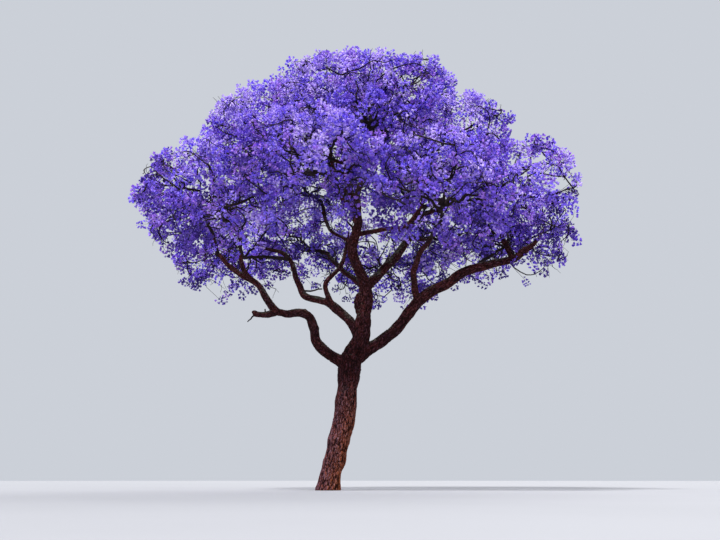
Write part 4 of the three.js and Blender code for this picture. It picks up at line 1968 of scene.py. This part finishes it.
def new_group(name: str, inputs: dict[str, str], outputs: dict[str, str]) -> tuple[NodeBench, dict, Node]:
    """Starts a shader node group.

    Args:
        name: its name.
        inputs: its inputs' names and the ends of their socket types.
        outputs: its outputs' names and the ends of their socket types.

    Returns:
        The bench for its nodes, its input sockets by name, and its output node.
    """
    group = bpy.data.node_groups.new(name, "ShaderNodeTree")
    for way, sockets in (("INPUT", inputs), ("OUTPUT", outputs)):
        for label, kind in sockets.items():
            group.interface.new_socket(name=label, in_out=way, socket_type="NodeSocket" + kind)
    source = group.nodes.new("NodeGroupInput")
    target = group.nodes.new("NodeGroupOutput")
    return NodeBench(group), {label: source.outputs[label] for label in inputs}, target


class SharedEffects:
    """The node groups that more than one finish uses."""

    def __init__(self) -> None:
        """Builds each group once."""
        self.mottle = self.build_mottle()
        self.lichen = self.build_lichen()

    @staticmethod
    def build_mottle() -> NodeTree:
        """Builds patches of a light and a dark shade of a colour.

        Returns:
            The group.
        """
        kinds = {"Vector": "Vector", "Scale": "Float", "Light": "Color", "Dark": "Color", "Contrast": "Float"}
        bench, given, target = new_group("Mottle", kinds, {"Color": "Color", "Mask": "Float"})
        grain = bench.add("TexNoise", {
            "Vector": given["Vector"], "Scale": given["Scale"], "Detail": 3.0, "Roughness": 0.6})
        spread = bench.times(bench.math("SUBTRACT", grain.outputs[0], 0.5), given["Contrast"])
        mask = bench.add("Clamp", {0: bench.math("ADD", spread, 0.5)}).outputs[0]
        bench.feed(target, {"Color": bench.mix(mask, given["Dark"], given["Light"]), "Mask": mask})
        return bench.tree

    @staticmethod
    def build_lichen() -> NodeTree:
        """Builds a mask of lichen that settles on the upper side of wood.

        Returns:
            The group.
        """
        bench, given, target = new_group("Lichen", {"Scale": "Float", "Cover": "Float"}, {"Mask": "Float"})
        up = bench.part(bench.add("NewGeometry").outputs["Normal"], 2)
        patches = bench.add("TexNoise", {
            "Vector": bench.place(), "Scale": given["Scale"], "Detail": 4.0, "Roughness": 0.65})
        facing = bench.times(bench.ramp(up, -0.35, 0.9), 0.45)
        amount = bench.math("ADD", bench.math("ADD", facing, patches.outputs[0]), given["Cover"])
        bench.feed(target, {"Mask": bench.ramp(amount, 0.86, 1.06)})
        return bench.tree


def new_material(name: str) -> tuple[Material, NodeBench, Node]:
    """Starts a material.

    Args:
        name: its name.

    Returns:
        The material, the bench for its nodes, and its shader.
    """
    material = bpy.data.materials.new(name)
    material.use_nodes = True
    return material, NodeBench(material.node_tree), material.node_tree.nodes["Principled BSDF"]


@dataclass(frozen=True)
class BarkFinish:
    """Fissured reddish-brown bark, dark between its plates partly as painted shade, grey with wear and
    painted glints on them, darker higher up and round the fork as painted shade, with lichen above.

    A pair of heights or sides says where an effect starts and where it is full.
    """

    # The fissure colour is the bark's own dark there, deepened as painted shade in the fissures and splits.
    fissure: Colour = (17, 4, 5)
    plate: Colour = (80, 36, 34)
    pale: Colour = (154, 92, 82)
    rust: Colour = (152, 66, 40)
    # Light grey flecks on the plates: partly wear, partly painted glints.
    wear_and_glint: Colour = (190, 160, 168)
    lichen: Colour = (122, 124, 108)
    # Painted shade and bluish surround light under the crown, multiplied into the bark higher up.
    aloft_shade: Colour = (168, 152, 172)
    # Painted shade round the fork, multiplied in.
    fork_shade: Colour = (196, 180, 188)
    orange: Colour = (182, 96, 34)
    # Grey-violet: partly wear, partly a painted highlight on the -X side.
    violet: Colour = (124, 92, 122)
    orange_side: Pair = (-0.5, 0.8)
    orange_height: Pair = (2.8, 0.2)
    orange_share: float = 0.6
    violet_side: Pair = (0.4, -0.8)
    violet_height: Pair = (3.4, 1.8)
    violet_share: float = 0.5
    aloft_shade_height: Pair = (1.8, 3.0)
    fork_shade_foot: Pair = (2.3, 3.1)
    fork_shade_top: Pair = (5.2, 3.6)
    lichen_height: Pair = (2.2, 4.6)
    lichen_share: float = 0.72
    wear_and_glint_share: float = 0.6
    split_width: float = 0.12
    drift: float = 0.09

    def build(self, effects: SharedEffects) -> Material:
        """Builds the material.

        Args:
            effects: the shared node groups.

        Returns:
            The material.
        """
        material, bench, shader = new_material("fissured bark")
        grain = bench.add("Attribute", attribute_name="grain").outputs["Vector"]
        plate = bench.add("Attribute", attribute_name="plate").outputs["Fac"]
        tone = bench.add("Attribute", attribute_name="tone").outputs["Fac"]
        stretched = bench.add("VectorMath", {0: grain, 1: (1.0, 1.0, 0.4)}, operation="MULTIPLY").outputs[0]
        height = bench.part(bench.place(), 2)
        side = bench.part(bench.add("NewGeometry").outputs["Normal"], 0)
        flakes = bench.add("TexNoise", {
            "Vector": stretched, "Scale": 42.0, "Detail": 4.0, "Roughness": 0.7}).outputs[0]
        drift = bench.add("TexNoise", {"Vector": grain, "Scale": 7.0, "Detail": 3.0})

        patches = bench.use(effects.mottle, {
            "Vector": stretched, "Scale": 5.0, "Light": linear(self.rust), "Dark": linear(self.plate),
            "Contrast": 4.0}).outputs["Color"]
        own = bench.mix(bench.ramp(tone, 0.25, 0.8), linear(self.plate), linear(self.pale))
        colour = bench.mix(0.5, patches, own)
        # Light grey flecks on the plate tops: wear together with painted glints.
        wear_and_glint = bench.times(bench.ramp(flakes, 0.46, 0.66), bench.ramp(plate, 0.3, 0.9), self.wear_and_glint_share)
        colour = bench.mix(wear_and_glint, colour, linear(self.wear_and_glint))

        # Orange towards the foot on the +X side; grey-violet on the flakes of the -X side up to about 3.4 m,
        # partly wear and partly a painted highlight on that side.
        orange = bench.times(bench.ramp(side, *self.orange_side), bench.ramp(height, *self.orange_height))
        colour = bench.mix(bench.times(orange, self.orange_share), colour, linear(self.orange))
        violet = bench.times(bench.ramp(side, *self.violet_side), bench.ramp(height, *self.violet_height),
                             bench.ramp(flakes, 0.35, 0.6), self.violet_share)
        colour = bench.mix(violet, colour, linear(self.violet))
        # Painted shade: from 1.8 m up the bark is multiplied darker and bluer where the crown shades the
        # limbs, with a little of the limbs' own darker bark.
        colour = bench.mix(bench.ramp(height, *self.aloft_shade_height), colour, linear(self.aloft_shade), "MULTIPLY")
        # Painted shade round the fork: darker from 2.3 m, fullest between 3.1 m and 3.6 m, gone by 5.2 m.
        fork_shade = bench.times(bench.ramp(height, *self.fork_shade_foot), bench.ramp(height, *self.fork_shade_top))
        colour = bench.mix(fork_shade, colour, linear(self.fork_shade), "MULTIPLY")
        lichen = bench.times(bench.use(effects.lichen, {"Scale": 2.2, "Cover": 0.1}).outputs["Mask"],
                             bench.ramp(height, *self.lichen_height), self.lichen_share)
        colour = bench.mix(lichen, colour, linear(self.lichen))

        moved = {0: drift.outputs["Color"], 1: (self.drift,) * 3, 2: stretched}
        moved = bench.add("VectorMath", moved, operation="MULTIPLY_ADD").outputs[0]
        splits = bench.add("TexVoronoi", {"Vector": moved, "Scale": 22.0}, feature="DISTANCE_TO_EDGE")
        split = bench.times(bench.ramp(splits.outputs[0], self.split_width, 0.0),
                            bench.ramp(drift.outputs[0], 0.3, 0.6))
        # Painted shade with the bark's own dark: the splits on the plates and the fissures between them take
        # the fissure colour.
        colour = bench.mix(split, colour, linear(self.fissure))
        colour = bench.mix(plate, linear(self.fissure), colour)

        cracks = bench.add("TexVoronoi", {"Vector": stretched, "Scale": 46.0}, feature="DISTANCE_TO_EDGE")
        fine = bench.times(bench.ramp(cracks.outputs[0], 0.0, 0.12), 0.6)
        relief = bench.math("ADD", fine, bench.times(flakes, 0.8))
        bump = bench.add("Bump", {"Height": relief, "Strength": 0.75, "Distance": 0.006})
        rough = bench.add("MapRange", {0: flakes, 1: 0.3, 2: 0.8, 3: 0.98, 4: 0.84})
        bench.feed(shader, {"Base Color": colour, "Roughness": rough.outputs[0], "Normal": bump.outputs[0],
                            "Specular IOR Level": 0.12})
        return material


@dataclass(frozen=True)
class MottledFinish:
    """A matt finish in soft patches of two shades: twig bark, stalks, petals and the floor.

    The cover is how far lichen spreads, and the gloss holds constants for the shader's own sockets.
    """

    name: str
    light: Colour
    dark: Colour
    scale: float
    contrast: float
    gloss: tuple[tuple[str, float], ...]
    relief: float = 0.0
    lichen: Colour | None = None
    cover: float = -0.08
    lichen_share: float = 0.5

    def build(self, effects: SharedEffects) -> Material:
        """Builds the material.

        Args:
            effects: the shared node groups.

        Returns:
            The material.
        """
        material, bench, shader = new_material(self.name)
        tone = bench.use(effects.mottle, {
            "Vector": bench.place(), "Scale": self.scale, "Light": linear(self.light),
            "Dark": linear(self.dark), "Contrast": self.contrast})
        colour = tone.outputs["Color"]
        if self.lichen:
            mask = bench.use(effects.lichen, {"Scale": 5.0, "Cover": self.cover}).outputs["Mask"]
            colour = bench.mix(bench.times(mask, self.lichen_share), colour, linear(self.lichen))
        if self.relief:
            height = {"Height": tone.outputs["Mask"], "Strength": 0.5, "Distance": self.relief}
            bench.feed(shader, {"Normal": bench.add("Bump", height).outputs[0]})
        bench.feed(shader, {"Base Color": colour, **dict(self.gloss)})
        return material


TWIG_FINISH = MottledFinish(
    "twig bark", (42, 27, 33), (20, 11, 13), 9.0, 2.4,
    (("Roughness", 0.9), ("Specular IOR Level", 0.2)), relief=0.003, lichen=(96, 96, 90))
STALK_FINISH = MottledFinish(
    "panicle stalk", (98, 82, 92), (54, 34, 58), 12.0, 2.0, (("Roughness", 0.75),))
FLOOR_FINISH = MottledFinish(
    "pale floor", (172, 172, 176), (165, 165, 169), 0.2, 1.0, (("Roughness", 0.85),))
PETAL_GLOSS = (
    ("Roughness", 0.62), ("Sheen Weight", 0.15), ("Sheen Roughness", 0.5), ("Specular IOR Level", 0.3))


def petal_finish(tint: Tint) -> MottledFinish:
    """Gives the finish of thin matt petals of one shade."""
    return MottledFinish(f"{tint.label} petals", tint.light, tint.dark, 7.0, 2.6, PETAL_GLOSS)


# Studio


@dataclass(frozen=True)
class PhotoView:
    """The photograph's viewpoint, turned to take in the whole tree."""

    distance: float = 25.59
    height: float = 0.31
    focal_pixels: float = 970.0
    frame_pixels: int = 720
    sensor: float = 36.0
    furthest: float = 500.0
    pan: float = 1.8
    pitch: float = 12.1

    def build(self) -> None:
        """Makes the camera and sets it as the scene's."""
        data = bpy.data.cameras.new("photo_view")
        data.sensor_width = self.sensor
        data.lens = self.sensor * self.focal_pixels / self.frame_pixels
        data.clip_end = self.furthest
        camera = linked("photo_view", data)
        camera.location = (0, -self.distance, self.height)
        camera.rotation_euler = (math.radians(90 + self.pitch), 0, math.radians(-self.pan))
        bpy.context.scene.camera = camera


@dataclass(frozen=True)
class Lamp:
    """A soft distant lamp: where it stands, its strength and how wide it looks, with angles in degrees."""

    name: str
    azimuth: float
    rise: float
    strength: float
    softness: float

    def build(self) -> None:
        """Adds the lamp."""
        data = bpy.data.lights.new(self.name, "SUN")
        data.energy = self.strength
        data.angle = math.radians(self.softness)
        made = linked(self.name, data)
        aim = Vector(heading(self.azimuth, self.rise))
        made.rotation_euler = aim.to_track_quat("Z", "Y").to_euler()


@dataclass(frozen=True)
class Studio:
    """A pale floor, an even pale surround and soft lamps."""

    floor_radius: float = 90.0
    floor_sides: int = 96
    floor_drop: float = 0.002
    surround: Colour = (222, 227, 236)
    surround_strength: float = 0.82
    lamps: tuple[Lamp, ...] = (
        Lamp("key", 235, 50, 3.6, 12),
        Lamp("fill", 300, 12, 0.6, 60),
        Lamp("back", 70, 40, 1.2, 30),
    )

    def build(self, effects: SharedEffects) -> None:
        """Builds the floor, the surround and the lamps.

        Args:
            effects: the shared node groups.
        """
        floor = bmesh.new()
        bmesh.ops.create_circle(floor, cap_ends=True, radius=self.floor_radius, segments=self.floor_sides)
        mesh = bpy.data.meshes.new("floor")
        floor.to_mesh(mesh)
        floor.free()
        made = linked("floor", mesh)
        made.location.z = -self.floor_drop
        mesh.materials.append(FLOOR_FINISH.build(effects))
        made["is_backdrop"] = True
        world = bpy.data.worlds.new("surround")
        world.use_nodes = True
        background = world.node_tree.nodes["Background"]
        background.inputs["Color"].default_value = linear(self.surround)
        background.inputs["Strength"].default_value = self.surround_strength
        bpy.context.scene.world = world
        for lamp in self.lamps:
            lamp.build()
        bpy.context.scene.view_settings.view_transform = "Standard"


# Assembly


def dress(piece: Object, material: Material, nodes: Sequence[str]) -> None:
    """Gives a piece its finish, and says what it rides on and stands for.

    Args:
        piece: the piece.
        material: its finish.
        nodes: the solids that it stands for.
    """
    piece.data.materials.clear()
    piece.data.materials.append(material)
    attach(piece, "root")
    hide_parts(*nodes)
    log.info("%s: %d faces", piece.name, len(piece.data.polygons))


def main() -> None:
    """Builds the tree in order, and the studio round it."""
    logging.basicConfig(level=logging.INFO, format="%(name)s %(message)s")
    # Without a seed, the vector noise starts from the clock, and the bark differs on every run.
    noise.seed_set(NOISE_SEED)
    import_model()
    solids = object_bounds()
    PhotoView().build()
    effects = SharedEffects()
    skeleton = Skeleton(RULE)
    masses = [mass.name for mass in skeleton.masses]

    skin = WoodSkin(skeleton)
    low, high = skin.build()
    bark = BarkFinish().build(effects)
    dress(low, bark, skin.low_limbs)
    dress(high, bark, [name for name in skeleton.limbs if name not in skin.low_limbs])

    crown = Crown(skeleton, (np.array(solids[0]), np.array(solids[1])))
    crown.build()
    sprays = sum(len(growth.sprays) for growth in crown.growths)
    log.info("%d sprays, %d panicles", sprays, sum(map(len, crown.dealt.values())) // 2)
    dress(mesh_object("twigs", *crown.sticks.arrays()), TWIG_FINISH.build(effects), masses)
    dress(mesh_object("panicle_stalks", *crown.stalks.arrays()), STALK_FINISH.build(effects), masses)
    for tint in Tint:
        blossom = mesh_object(f"blossom_{tint.label}", *crown.blossom(tint), smooth=False)
        dress(blossom, petal_finish(tint).build(effects), masses)

    Studio().build(effects)
    bpy.context.view_layer.update()


if __name__ == "__main__":
    main()
